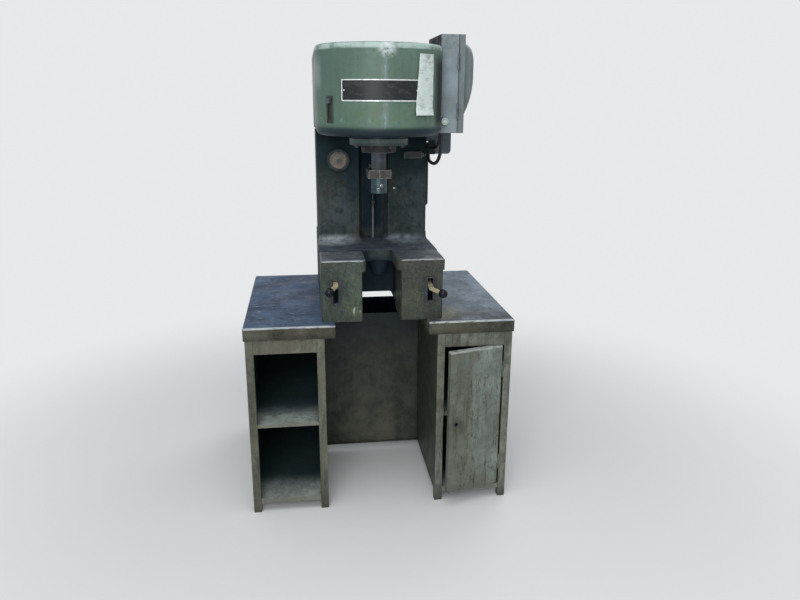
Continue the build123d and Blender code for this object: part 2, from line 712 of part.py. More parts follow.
def head_casting():
    """Round-fronted hollow head, open at the back under its cover."""
    height = HEAD_TOP - HEAD_BOTTOM
    head = Pos(0, 0, HEAD_BOTTOM) * extrude(head_outline(0, PRESS_BACK), height)
    rear = PRESS_BACK - 1
    head = fillet(head.faces().sort_by(Axis.Z)[-1].edges().filter_by(
        lambda edge: edge.center().Y < rear), HEAD_TOP_R)
    head = fillet(head.faces().sort_by(Axis.Z)[0].edges().filter_by(
        lambda edge: edge.center().Y < rear), HEAD_BOTTOM_R)
    head += upright(PRESS_X, RAM_Y, HEAD_BOTTOM - HEAD_BOSS_DROP, HEAD_BOTTOM + 1, HEAD_BOSS_R)
    floor = HEAD_BOTTOM + HEAD_FLOOR
    cavity = extrude(head_outline(HEAD_WALL, PRESS_BACK + 1), HEAD_TOP - HEAD_WALL - floor)
    head = head - Pos(0, 0, floor) * cavity
    head = head - upright(PRESS_X, RAM_Y, HEAD_BOTTOM - HEAD_BOSS_DROP - 1, floor + 1,
                          CYLINDER_R + RUN_FIT)
    head = head - upright(CHANNEL_X, ROD_Y, HEAD_BOTTOM - 1, floor + 1, ROD_R + ROD_FIT)
    head = head - block(PRESS_X - HEAD_PORT_HALF, PRESS_X + HEAD_PORT_HALF, HEAD_PORT_FRONT,
                        HEAD_PORT_BACK, HEAD_BOTTOM - 1, floor + 1)
    for turn in range(FLANGE_BOLTS):
        angle = radians((turn + 0.5) * 360 / FLANGE_BOLTS)
        x = PRESS_X + FLANGE_BOLT_CIRCLE_R * cos(angle)
        y = RAM_Y + FLANGE_BOLT_CIRCLE_R * sin(angle)
        head = head - upright(x, y, HEAD_BOTTOM - HEAD_BOSS_DROP - 1, HEAD_BOTTOM + FLANGE_BOLT_IN + 2,
                              FLANGE_BOLT_R)
    seat = selector_place()
    outside = seat * extrude(Rectangle(SELECTOR_WIDTH, SELECTOR_HEIGHT), 2 * SELECTOR_SEAT)
    slot = seat * extrude(Rectangle(SELECTOR_SLOT, SELECTOR_SLOT_HEIGHT), HEAD_WALL * 2,
                          both=True)
    return head - outside - slot


def selector_plate():
    """Small plate on the head with an upright slot."""
    plate = extrude(Rectangle(SELECTOR_WIDTH, SELECTOR_HEIGHT), SELECTOR_THICK)
    plate = chamfer(plate.faces().sort_by(Axis.Z)[-1].edges(), 1)
    plate = plate - extrude(Rectangle(SELECTOR_SLOT, SELECTOR_SLOT_HEIGHT), SELECTOR_THICK * 2,
                            both=True)
    return selector_place() * plate


def selector_tab():
    """Finger tab at the top of the slot, with its stem and keeper."""
    top = SELECTOR_SLOT_HEIGHT / 2 - TAB_STEM_HEIGHT / 2 - RUN_GAP
    face = SELECTOR_THICK + RUN_GAP
    wall = HEAD_WALL + RUN_GAP
    tab = Pos(0, 0, face) * extrude(RectangleRounded(TAB_WIDTH, TAB_HEIGHT, 2), TAB_PROUD)
    stem = Pos(0, 0, -wall) * extrude(Rectangle(TAB_STEM, TAB_STEM_HEIGHT), face + wall)
    keeper = Pos(0, 0, -wall - TAB_KEEPER_THICK) * extrude(
        Rectangle(TAB_KEEPER, TAB_STEM_HEIGHT), TAB_KEEPER_THICK)
    return selector_place() * Pos(0, top, 0) * (tab + stem + keeper)


# Cylinder and ram

def bolt_ring(z0, z1, r):
    """Cylinders on the flange's bolt circle."""
    ring = []
    for turn in range(FLANGE_BOLTS):
        angle = radians((turn + 0.5) * 360 / FLANGE_BOLTS)
        x = PRESS_X + FLANGE_BOLT_CIRCLE_R * cos(angle)
        y = RAM_Y + FLANGE_BOLT_CIRCLE_R * sin(angle)
        ring.append(upright(x, y, z0, z1, r))
    return ring


def cylinder():
    """Cylinder with its round flange under the head."""
    body = upright(PRESS_X, RAM_Y, FLANGE_BOTTOM, CYLINDER_TOP, CYLINDER_R)
    flange = upright(PRESS_X, RAM_Y, FLANGE_BOTTOM, FLANGE_TOP, FLANGE_R)
    flange = fillet(flange.edges().group_by(Axis.Z)[0], 2)
    body += flange
    body += upright(PRESS_X, RAM_Y, FLANGE_TOP, FLANGE_TOP + FLANGE_NECK, FLANGE_NECK_R)
    body = body - upright(PRESS_X, RAM_Y, FLANGE_BOTTOM - 1, CYLINDER_TOP - CYLINDER_CAP,
                          CYLINDER_BORE_R)
    for hole in bolt_ring(FLANGE_BOTTOM - 1, FLANGE_TOP + FLANGE_NECK + 1, FLANGE_BOLT_R):
        body = body - hole
    port_z = CYLINDER_TOP - CYLINDER_CAP - PIPE_R - 2
    return body - along_y(PRESS_X, RAM_Y + CYLINDER_BORE_R - 5, RAM_Y + CYLINDER_R + 1, port_z,
                          PIPE_R + RUN_GAP)


def flange_bolts():
    """Round-headed screws that hold the cylinder up to the head."""
    heads = bolt_ring(FLANGE_BOTTOM - FLANGE_BOLT_HEAD_R, FLANGE_BOTTOM, FLANGE_BOLT_HEAD_R)
    shanks = bolt_ring(FLANGE_BOTTOM, HEAD_BOTTOM + FLANGE_BOLT_IN, FLANGE_BOLT_R - RUN_FIT)
    return [head + shank for head, shank in zip(heads, shanks)]


def gland():
    """Slightly tapered gland round the ram, with its spigot in the cylinder."""
    ring = Pos(PRESS_X, RAM_Y, FLANGE_BOTTOM - GLAND_THICK / 2) * Cone(
        GLAND_END_R, GLAND_R, GLAND_THICK)
    ring += upright(PRESS_X, RAM_Y, FLANGE_BOTTOM, FLANGE_BOTTOM + GLAND_SPIGOT,
                    CYLINDER_BORE_R - RUN_FIT)
    return ring - upright(PRESS_X, RAM_Y, FLANGE_BOTTOM - GLAND_THICK - 1,
                          FLANGE_BOTTOM + GLAND_SPIGOT + 1, RAM_R + RUN_FIT)


def piston():
    """Piston with two seal grooves, bored for the ram's neck."""
    top = PISTON_BOTTOM + PISTON_HEIGHT
    body = upright(PRESS_X, RAM_Y, PISTON_BOTTOM, top, CYLINDER_BORE_R - RUN_FIT)
    for share in (0.3, 0.7):
        z = PISTON_BOTTOM + PISTON_HEIGHT * share
        ring = upright(PRESS_X, RAM_Y, z - PISTON_GROOVE / 2, z + PISTON_GROOVE / 2,
                       CYLINDER_BORE_R + 1)
        ring = ring - upright(PRESS_X, RAM_Y, z - PISTON_GROOVE, z + PISTON_GROOVE,
                              CYLINDER_BORE_R - PISTON_GROOVE)
        body = body - ring
    return body - upright(PRESS_X, RAM_Y, PISTON_BOTTOM - 1, top + 1, PISTON_NECK_R + RUN_FIT)


def ram():
    """Ram with a neck for the piston and a nose for the tool holder."""
    bar = upright(PRESS_X, RAM_Y, ARM_BOTTOM, PISTON_BOTTOM, RAM_R)
    bar += upright(PRESS_X, RAM_Y, PISTON_BOTTOM, PISTON_BOTTOM + PISTON_HEIGHT, PISTON_NECK_R)
    bar += upright(PRESS_X, RAM_Y, ARM_BOTTOM - RAM_NOSE, ARM_BOTTOM, RAM_NOSE_R)
    return bar


def trip_arm():
    """Split square block on the ram, its arm, and the fork round the stroke rod."""
    half = ARM_BLOCK / 2
    top = ARM_BOTTOM + ARM_THICK
    arm = block(PRESS_X - half, PRESS_X + half, RAM_Y - half, RAM_Y + half, ARM_BOTTOM, top)
    arm = chamfer(arm.edges().filter_by(Axis.Z), 3)
    bar_z = ARM_BOTTOM + (ARM_THICK - ARM_BAR_THICK) / 2
    arm += block(CHANNEL_X - ARM_BAR_WIDTH / 2, CHANNEL_X + ARM_BAR_WIDTH / 2,
                 RAM_Y, ROD_Y - FORK_FRONT, bar_z, bar_z + ARM_BAR_THICK)
    arm = arm - upright(PRESS_X, RAM_Y, ARM_BOTTOM - 1, top + 1, RAM_R + RUN_FIT)
    arm = arm - block(PRESS_X - ARM_SPLIT / 2, PRESS_X + ARM_SPLIT / 2, RAM_Y - half - 1,
                      RAM_Y, ARM_BOTTOM - 1, top + 1)
    fork = block(CHANNEL_X - FORK_HALF, CHANNEL_X + FORK_HALF, ROD_Y - FORK_FRONT,
                 ROD_Y + FORK_BACK, bar_z, bar_z + ARM_BAR_THICK)
    fork = chamfer(fork.edges().filter_by(Axis.Z), 2)
    slot = ROD_R + FORK_GAP
    fork = fork - block(CHANNEL_X - slot, CHANNEL_X + slot, ROD_Y - slot, ROD_Y + FORK_BACK + 1,
                        bar_z - 1, bar_z + ARM_BAR_THICK + 1)
    return [arm, fork]


def tool_holder():
    """Round holder on the ram's nose, bored from below for the tool."""
    bottom = ARM_BOTTOM - HOLDER_HEIGHT
    body = upright(PRESS_X, RAM_Y, bottom, ARM_BOTTOM, HOLDER_R)
    body = chamfer(body.edges().group_by(Axis.Z)[0], 2)
    body = body - upright(PRESS_X, RAM_Y, ARM_BOTTOM - RAM_NOSE - RUN_GAP, ARM_BOTTOM + 1,
                          RAM_NOSE_R + RUN_FIT)
    body = body - upright(PRESS_X, RAM_Y, bottom - 1, bottom + HOLDER_BORE, HOLDER_BORE_R)
    return body - along_y(PRESS_X, RAM_Y - HOLDER_R - 1, RAM_Y, bottom + HOLDER_BORE / 2,
                          HOLDER_SCREW_R)


def tool_screw():
    """Set screw in the holder's front that clamps a tool's shank."""
    z = ARM_BOTTOM - HOLDER_HEIGHT + HOLDER_BORE / 2
    screw = along_y(PRESS_X, RAM_Y - HOLDER_R - 2, RAM_Y - HOLDER_BORE_R - 1, z,
                    HOLDER_SCREW_R - RUN_FIT)
    socket = Pos(PRESS_X, RAM_Y - HOLDER_R - 2, z) * Rot(-90, 0, 0) * hexagon(
        HOLDER_SCREW_R, HOLDER_SCREW_R)
    return screw - socket


# Stroke rod and main valve

def stroke_rod():
    """Round rod in the channel that shifts the main valve."""
    return upright(CHANNEL_X, ROD_Y, ROD_BOTTOM, ROD_TOP, ROD_R)


def stop_collars():
    """Two collars that the trip arm strikes."""
    collars = []
    for z in (LOWER_STOP, UPPER_STOP):
        collar = upright(CHANNEL_X, ROD_Y, z, z + STOP_HEIGHT, STOP_R)
        collar = chamfer(collar.edges(), 1)
        collars.append(collar - upright(CHANNEL_X, ROD_Y, z - 1, z + STOP_HEIGHT + 1,
                                        ROD_R + RUN_FIT))
    return collars


def main_valve():
    """Valve block on the head's floor above the channel."""
    z0 = HEAD_BOTTOM + HEAD_FLOOR
    body = block(CHANNEL_X - VALVE_HALF, CHANNEL_X + VALVE_HALF, VALVE_FRONT, VALVE_BACK,
                 z0, z0 + VALVE_HEIGHT)
    body = chamfer(body.edges().filter_by(Axis.Z), 2)
    return body - upright(CHANNEL_X, ROD_Y, z0 - 1, z0 + VALVE_HEIGHT - HEAD_WALL,
                          SPOOL_R + RUN_FIT)


def valve_spool():
    """Spool on the rod's upper end, with three lands."""
    spool = upright(CHANNEL_X, ROD_Y, ROD_TOP, ROD_TOP + SPOOL_LENGTH, SPOOL_R)
    land = SPOOL_LENGTH / 5
    for step in (1, 3):
        z = ROD_TOP + land * step
        ring = upright(CHANNEL_X, ROD_Y, z, z + land, SPOOL_R + 1)
        spool = spool - (ring - upright(CHANNEL_X, ROD_Y, z - 1, z + land + 1, SPOOL_R / 2))
    return spool


def tube(points, radii, r):
    """A round tube along straight runs joined by tangent arcs."""
    path = FilletPolyline(*points, radius=radii)
    start = Plane(origin=path @ 0, z_dir=path % 0)
    return sweep(start * Circle(r), path)


def cylinder_pipe():
    """Pipe from the main valve's front to the cylinder's top port."""
    port_z = CYLINDER_TOP - CYLINDER_CAP - PIPE_R - 2
    valve_z = HEAD_BOTTOM + HEAD_FLOOR + VALVE_HEIGHT * 0.6
    middle = (RAM_Y + CYLINDER_R + VALVE_FRONT) / 2
    points = [(CHANNEL_X, VALVE_FRONT, valve_z), (CHANNEL_X, middle, valve_z),
              (PRESS_X, middle, port_z), (PRESS_X, RAM_Y + CYLINDER_R - 8, port_z)]
    return tube(points, [25, 25], PIPE_R)


def pump_pipe():
    """Pressure pipe from the bed up through the column to the main valve."""
    x = PRESS_X + HEAD_PORT_HALF - 4 * PIPE_R
    valve_z = HEAD_BOTTOM + HEAD_FLOOR + VALVE_HEIGHT * 0.3
    y = HEAD_PORT_FRONT + 4 * PIPE_R
    points = [(CHANNEL_X, VALVE_BACK, valve_z), (CHANNEL_X, y, valve_z),
              (x, y + 2 * PIPE_R, valve_z), (x, y + 2 * PIPE_R, BED_TOP)]
    return tube(points, [20, 25], PIPE_R)


# Lever housings and hand levers

def lever_housing(outer, inner, side_inset, pivot_z, lever_x):
    """Cast housing with a thick top, open below and behind, slotted in front."""
    side = 1 if outer > 0 else -1
    low_outer = outer - side * side_inset
    body = block(low_outer, inner, HOUSING_FRONT, BASE_FRONT, TABLE_HEIGHT, BED_UNDER)
    front = body.edges().filter_by(Axis.Z).group_by(Axis.Y)[0]
    body = fillet(front, HOUSING_CORNER_R)
    ledge = inner - side * HOUSING_LEDGE
    cap = block(outer, ledge, HOUSING_FRONT, BASE_FRONT, BED_UNDER, BED_TOP)
    front = cap.edges().filter_by(Axis.Z).group_by(Axis.Y)[0].sort_by(Axis.X)
    near = front[0] if side > 0 else front[-1]
    cap = fillet(near, RIGHT_LEDGE_R if side > 0 else LEFT_LEDGE_R)
    far = cap.edges().filter_by(Axis.Z).sort_by(Axis.X)
    far = far[-2:] if side > 0 else far[:2]
    cap = fillet(far.sort_by(Axis.Y)[0], HOUSING_CORNER_R)
    cap = fillet(cap.faces().sort_by(Axis.Z)[-1].edges().filter_by(
        lambda edge: edge.center().Y < BASE_FRONT - 1), HOUSING_TOP_R)
    body += cap
    body = body - block(low_outer - side * HOUSING_WALL, inner + side * HOUSING_WALL,
                        HOUSING_FRONT + HOUSING_WALL, BASE_FRONT + 1, TABLE_HEIGHT - 1,
                        BED_TOP - HOUSING_TOP_WALL)
    body = body - block(lever_x - SLOT_WIDTH / 2, lever_x + SLOT_WIDTH / 2, HOUSING_FRONT - 1,
                        HOUSING_FRONT + HOUSING_WALL + 1, SLOT_Z - SLOT_HEIGHT / 2,
                        SLOT_Z + SLOT_HEIGHT / 2)
    pin_in = inner + side * HOUSING_WALL / 2
    x0 = min(low_outer + side, pin_in)
    x1 = max(low_outer + side, pin_in)
    return body - along_x(x0, x1, PIVOT_Y, pivot_z, PIVOT_R + RUN_FIT)


def slot_plate(lever_x):
    """Rimmed plate round the lever's slot."""
    y = HOUSING_FRONT - PLATE_THICK
    plate = block(lever_x - PLATE_WIDTH / 2, lever_x + PLATE_WIDTH / 2, y - PLATE_RIM,
                  HOUSING_FRONT, SLOT_Z - PLATE_HEIGHT / 2, SLOT_Z + PLATE_HEIGHT / 2)
    plate = fillet(plate.edges().filter_by(Axis.Y), 3)
    half = PLATE_WIDTH / 2 - PLATE_RIM_WIDTH
    high = PLATE_HEIGHT / 2 - PLATE_RIM_WIDTH
    plate = plate - block(lever_x - half, lever_x + half, y - PLATE_RIM - 1, y,
                          SLOT_Z - high, SLOT_Z + high)
    return plate - block(lever_x - SLOT_WIDTH / 2, lever_x + SLOT_WIDTH / 2, y - 1,
                         HOUSING_FRONT + 1, SLOT_Z - SLOT_HEIGHT / 2, SLOT_Z + SLOT_HEIGHT / 2)


def flat_lever(lever_x, knob_x):
    """Flat cranked lever about its pivot at the origin, before it is drooped."""
    bend = LEVER_BEND_Y - PIVOT_Y
    tip = KNOB_Y - PIVOT_Y
    side = knob_x - lever_x
    bar = block(-LEVER_WIDTH / 2, LEVER_WIDTH / 2, bend, LEVER_TAIL,
                -LEVER_THICK / 2, LEVER_THICK / 2)
    bar += upright(0, bend, -LEVER_THICK / 2, LEVER_THICK / 2, LEVER_WIDTH / 2)
    arm = Vector(side, tip - bend, 0)
    reach = arm.length - KNOB_R * 0.7
    place = Plane(origin=(0, bend, 0), x_dir=arm, z_dir=(0, 0, 1))
    bar += place * block(0, reach, -LEVER_WIDTH / 2, LEVER_WIDTH / 2,
                         -LEVER_THICK / 2, LEVER_THICK / 2)
    bar += place * along_x(reach, reach + KNOB_STUD, 0, 0, KNOB_STUD_R * 0.7)
    bar += along_x(-HUB_WIDTH / 2, HUB_WIDTH / 2, 0, 0, HUB_R)
    return bar - along_x(-HUB_WIDTH, HUB_WIDTH, 0, 0, PIVOT_R + RUN_FIT)


def hand_lever(lever_x, knob_x, pivot_z, droop):
    """Flat lever in its place, hanging forwards and down."""
    return Pos(lever_x, PIVOT_Y, pivot_z) * Rot(droop, 0, 0) * flat_lever(lever_x, knob_x)


def lever_knob(lever_x, knob_x, pivot_z, droop):
    """Ball knob with a flat where it meets the lever."""
    bend = LEVER_BEND_Y - PIVOT_Y
    arm = Vector(knob_x - lever_x, KNOB_Y - PIVOT_Y - bend, 0)
    reach = arm.length - KNOB_R * 0.7
    place = Plane(origin=(0, bend, 0), x_dir=arm, z_dir=(0, 0, 1))
    ball = Pos(arm.length, 0, 0) * Sphere(KNOB_R)
    ball = ball - block(0, reach, -KNOB_R, KNOB_R, -KNOB_R, KNOB_R)
    ball = ball - along_x(reach - 1, reach + KNOB_STUD + 1, 0, 0, KNOB_STUD_R * 0.7 + RUN_FIT)
    return Pos(lever_x, PIVOT_Y, pivot_z) * Rot(droop, 0, 0) * (place * ball)


def lever_pivot_pin(outer, inner, side_inset, pivot_z):
    """Pin across the housing on which the lever turns."""
    side = 1 if outer > 0 else -1
    start = outer - side * (side_inset + 1)
    end = inner + side * HOUSING_WALL / 2
    return along_x(min(start, end), max(start, end), PIVOT_Y, pivot_z, PIVOT_R)


def lever_spring(lever_x, pivot_z, side):
    """Coiled spring beside the lever's hub."""
    pitch = 2 * SPRING_WIRE_R * 0.95
    start = HUB_WIDTH / 2 + RUN_GAP + SPRING_WIRE_R
    coil_r = PIVOT_R + SPRING_WIRE_R + SPRING_CLEAR
    rows = [Pos(start + pitch * turn, coil_r) * Circle(SPRING_WIRE_R)
            for turn in range(SPRING_TURNS)]
    profile = rows[0]
    for row in rows[1:]:
        profile += row
    coil = revolve(profile, axis=Axis.X)
    if side < 0:
        coil = mirrored(coil)
    return Pos(lever_x, PIVOT_Y, pivot_z) * coil


# Gauge and pressure valve

def gauge_case():
    """Round gauge case with a deep rim, set on the column's front."""
    y0 = COLUMN_FRONT - GAUGE_PROUD
    case = along_y(GAUGE_X, y0, COLUMN_FRONT, GAUGE_Z, GAUGE_R)
    case = chamfer(case.edges().group_by(Axis.Y)[0], 3)
    return case - along_y(GAUGE_X, y0 - 1, y0 + DIAL_DEPTH + DIAL_THICK, GAUGE_Z, DIAL_R)


def gauge_dial():
    """Thin dial at the bottom of the case's recess."""
    y0 = COLUMN_FRONT - GAUGE_PROUD + DIAL_DEPTH
    dial = along_y(GAUGE_X, y0, y0 + DIAL_THICK, GAUGE_Z, DIAL_R - RUN_FIT)
    return dial - along_y(GAUGE_X, y0 - 1, y0 + DIAL_THICK + 1, GAUGE_Z, NEEDLE_PIN_R + 0.3)


def gauge_needle():
    """Pointer that lies to the right, with its hub and short tail."""
    y1 = COLUMN_FRONT - GAUGE_PROUD + DIAL_DEPTH - RUN_GAP
    y0 = y1 - 1
    points = [(-8, -NEEDLE_WIDTH / 2), (-8, NEEDLE_WIDTH / 2), (NEEDLE_LENGTH, 0.3),
              (NEEDLE_LENGTH, -0.3)]
    flat = extrude(make_face(Polyline(*points, close=True)), y1 - y0)
    needle = Pos(GAUGE_X, y1, GAUGE_Z) * Rot(90, 0, 0) * flat
    needle += along_y(GAUGE_X, y0 - 1, y1, GAUGE_Z, NEEDLE_WIDTH)
    return needle + along_y(GAUGE_X, y0, y1 + RUN_GAP + DIAL_THICK * 0.8, GAUGE_Z, NEEDLE_PIN_R)


def gauge_glass():
    """Flat glass in the case's mouth."""
    y0 = COLUMN_FRONT - GAUGE_PROUD + 0.5
    return along_y(GAUGE_X, y0, y0 + GLASS_THICK, GAUGE_Z, DIAL_R - RUN_FIT)


def pressure_valve():
    """Small relief valve block on the column's right front."""
    x0 = VALVE_BLOCK_X - VALVE_BLOCK_WIDTH / 2
    x1 = VALVE_BLOCK_X + VALVE_BLOCK_WIDTH / 2
    y0 = COLUMN_FRONT - VALVE_BLOCK_PROUD
    z0 = VALVE_BLOCK_Z - VALVE_BLOCK_HIGH / 2
    body = block(x0, x1, y0, COLUMN_FRONT, z0, z0 + VALVE_BLOCK_HIGH)
    body = chamfer(body.faces().sort_by(Axis.Y)[0].edges(), 2)
    middle = y0 + VALVE_BLOCK_PROUD / 2
    return body - along_x(x1 - 2 * LOCKNUT, x1 + 1, middle, VALVE_BLOCK_Z, ADJUSTER_R + RUN_FIT)


def pressure_adjuster():
    """Adjusting screw and locknut at the valve block's end."""
    x1 = VALVE_BLOCK_X + VALVE_BLOCK_WIDTH / 2
    y = COLUMN_FRONT - VALVE_BLOCK_PROUD / 2
    screw = along_x(x1 - LOCKNUT, x1 + ADJUSTER_REACH, y, VALVE_BLOCK_Z, ADJUSTER_R)
    nut = Pos(x1, y, VALVE_BLOCK_Z) * Rot(0, 90, 0) * hexagon(LOCKNUT, LOCKNUT_THICK)
    return screw + nut


# Switch box, conduits and cable

def switch_box():
    """Sheet box on the head's side, open to the right under its cover."""
    body = block(HEAD_RIGHT, BOX_RIGHT, BOX_FRONT, BOX_BACK, BOX_BOTTOM, BOX_TOP)
    body = body - block(HEAD_RIGHT + BOX_SHEET, BOX_RIGHT + 1, BOX_FRONT + BOX_SHEET,
                        BOX_BACK - BOX_SHEET, BOX_BOTTOM + BOX_SHEET, BOX_TOP - BOX_SHEET)
    x = HEAD_RIGHT + BUTTON_X_IN
    z = BOX_BOTTOM + BUTTON_Z_UP
    body = body - along_y(x, BOX_FRONT - 1, BOX_FRONT + BOX_SHEET + 1, z,
                          BUTTON_STEM_R + RUN_GAP)
    body = body - along_y(HEAD_RIGHT + BUSHING_X_IN, BOX_BACK - BOX_SHEET - 1, BOX_BACK + 1,
                          BOX_TOP - BUSHING_DOWN, BUSHING_R + RUN_FIT)
    for z in BOX_HINGE_Z:
        for step in (0, 2):
            body += box_knuckle(z + step * BOX_HINGE_KNUCKLE, BOX_HINGE_KNUCKLE, -1)
    return body


def supply_bushing():
    """Bushing in the box's back wall where the supply cable goes in."""
    x = HEAD_RIGHT + BUSHING_X_IN
    z = BOX_TOP - BUSHING_DOWN
    y1 = BOX_BACK + BUSHING_HEAD
    body = along_y(x, BOX_BACK, y1, z, BUSHING_HEAD_R)
    body = chamfer(body.edges().group_by(Axis.Y)[-1], 2)
    body += along_y(x, y1 - BUSHING_LENGTH, BOX_BACK, z, BUSHING_R)
    return body - along_y(x, y1 - BUSHING_LENGTH - 1, y1 + 1, z, BUSHING_BORE_R)


def box_knuckle(z, length, side):
    """One hinge knuckle of the box's cover, bored for the pin."""
    barrel = upright(BOX_RIGHT, BOX_HINGE_Y, z, z + length, BOX_HINGE_R)
    near = BOX_RIGHT + side * COVER_GAP
    far = BOX_RIGHT + side * BOX_HINGE_R
    leaf = block(near, far, BOX_HINGE_Y, BOX_FRONT + BOX_SHEET / 2, z, z + length)
    return barrel + leaf - upright(BOX_RIGHT, BOX_HINGE_Y, z - 1, z + length + 1,
                                   BOX_HINGE_PIN_R + HINGE_FIT)


def dome(inset):
    """Bulge of the cover, lofted through rounded rectangles."""
    faces = []
    for share, low, high, narrow in DOME_SECTIONS:
        width = DOME_WIDTH - 2 * (narrow + inset)
        height = DOME_HEIGHT - low - high - 2 * inset
        middle = DOME_BOTTOM + low + (DOME_HEIGHT - low - high) / 2
        place = Plane(origin=(BOX_RIGHT + COVER_DEPTH + share * DOME_DEPTH - inset,
                              BOX_FRONT + BOX_DEPTH / 2, middle),
                      x_dir=(0, 1, 0), z_dir=(1, 0, 0))
        corner = min(width, height) * 0.3
        faces.append(place * RectangleRounded(width, height, corner))
    return loft(faces)


def switch_box_cover():
    """Deep cover with a pressed bulge, hinged on the box's front edge."""
    x0 = BOX_RIGHT + COVER_GAP
    x1 = BOX_RIGHT + COVER_DEPTH
    lid = block(x0, x1, BOX_FRONT, BOX_BACK, BOX_BOTTOM, BOX_TOP)
    lid = fillet(lid.faces().sort_by(Axis.X)[-1].edges(), 2)
    lid = lid + dome(0)
    lid = lid - block(x0 - 1, x1 - BOX_SHEET, BOX_FRONT + BOX_SHEET, BOX_BACK - BOX_SHEET,
                      BOX_BOTTOM + BOX_SHEET, BOX_TOP - BOX_SHEET)
    lid = lid - dome(BOX_SHEET)
    for z in BOX_HINGE_Z:
        lid += box_knuckle(z + BOX_HINGE_KNUCKLE + RUN_GAP, BOX_HINGE_KNUCKLE - 2 * RUN_GAP, 1)
    return lid


def box_hinge_pins():
    """Two pins in the cover's hinges."""
    pins = []
    for z in BOX_HINGE_Z:
        pins.append(upright(BOX_RIGHT, BOX_HINGE_Y, z, z + 3 * BOX_HINGE_KNUCKLE,
                            BOX_HINGE_PIN_R))
    return pins


def motor_button():
    """Round push button in the box's front."""
    x = HEAD_RIGHT + BUTTON_X_IN
    z = BOX_BOTTOM + BUTTON_Z_UP
    cap = along_y(x, BOX_FRONT - BUTTON_PROUD, BOX_FRONT - BUTTON_PROUD / 2 - RUN_GAP, z,
                  BUTTON_R)
    cap = fillet(cap.edges().group_by(Axis.Y)[0], 1.5)
    return cap + along_y(x, BOX_FRONT - BUTTON_PROUD / 2 - RUN_GAP, BOX_FRONT + BUTTON_STEM, z,
                         BUTTON_STEM_R)


def starter():
    """Motor starter on the box's back wall."""
    width, depth, height = STARTER_SIZE
    x0 = HEAD_RIGHT + BOX_SHEET
    y0 = BOX_FRONT + (BOX_DEPTH - depth) / 2
    z0 = BOX_BOTTOM + STARTER_UP
    body = block(x0, x0 + width * 0.6, y0, y0 + depth, z0, z0 + height)
    return body + block(x0, x0 + width, y0 + depth * 0.15, y0 + depth * 0.85,
                        z0 + height * 0.2, z0 + height * 0.8)


def box_bracket():
    """Angle under the box's back edge, bolted to the column's side."""
    x0 = COLUMN_RIGHT
    x1 = x0 + BRACKET_WIDTH
    y0 = BRACKET_Y
    z1 = BOX_BOTTOM
    z0 = z1 - BRACKET_DROP
    plate = block(x0, x1, y0, y0 + BRACKET_THICK, z0, z1)
    corner = plate.edges().filter_by(Axis.Y).sort_by(lambda edge: edge.center().X
                                                     - edge.center().Z)[-1]
    plate = fillet(corner, BRACKET_CORNER_R)
    plate = plate - block(x0 - 1, x0 + BRACKET_NOTCH, y0 - 1, y0 + BRACKET_THICK + 1,
                          z0 - 1, z1 - BRACKET_NOTCH_TOP)
    plate += block(x0, x0 + BRACKET_THICK, y0, y0 + BRACKET_FLANGE, z1 - BRACKET_NOTCH_TOP, z1)
    return plate + block(HEAD_RIGHT, x1, BOX_BACK - BRACKET_FLANGE, y0 + BRACKET_THICK,
                         z1 - BRACKET_THICK, z1)


def junction_block():
    """Small wiring box on the column's side."""
    width, depth, height = JUNCTION_SIZE
    body = block(COLUMN_RIGHT, COLUMN_RIGHT + width, JUNCTION_Y, JUNCTION_Y + depth,
                 JUNCTION_Z, JUNCTION_Z + height)
    return fillet(body.faces().sort_by(Axis.X)[-1].edges(), 3)


def conduit_front():
    """Outer black conduit: a long loop from the box down and back to the junction."""
    x = COLUMN_RIGHT + CONDUIT_OUT
    y_start = BOX_FRONT + CONDUIT_FIRST
    y_end = JUNCTION_Y + JUNCTION_SIZE[1] / 2
    low = JUNCTION_Z - CONDUIT_DIP
    points = [(x + CONDUIT_LEAN, y_start, BOX_BOTTOM),
              (x + CONDUIT_LEAN, y_start, BOX_BOTTOM - OUTER_DROP),
              (x + CONDUIT_LEAN / 2, y_start + OUTER_SWING, low + 2),
              (x, y_end, low), (x, y_end, JUNCTION_Z)]
    return tube(points, [45, 60, 24], CONDUIT_R)


def conduit_rear():
    """Inner black conduit, nested in the outer one's loop."""
    x = COLUMN_RIGHT + CONDUIT_OUT
    y_start = BOX_FRONT + CONDUIT_FIRST + CONDUIT_PITCH
    z_end = JUNCTION_Z + JUNCTION_SIZE[2] / 2
    points = [(x + CONDUIT_LEAN, y_start, BOX_BOTTOM),
              (x + CONDUIT_LEAN, y_start, BOX_BOTTOM - INNER_DROP),
              (x, y_start + INNER_SWING, z_end), (x, JUNCTION_Y, z_end)]
    return tube(points, [32, 60], CONDUIT_R)


def side_cable():
    """Thin cable down the column's side from the junction into the column."""
    x = COLUMN_RIGHT + 2 * CABLE_R
    y = JUNCTION_Y + JUNCTION_SIZE[1] - CABLE_R - 2
    z_end = JUNCTION_Z - CABLE_DROP
    points = [(x, y, JUNCTION_Z), (x, y, z_end), (COLUMN_RIGHT, y, z_end)]
    return tube(points, [CABLE_R + 3], CABLE_R)


# Motor, pump and rear covers

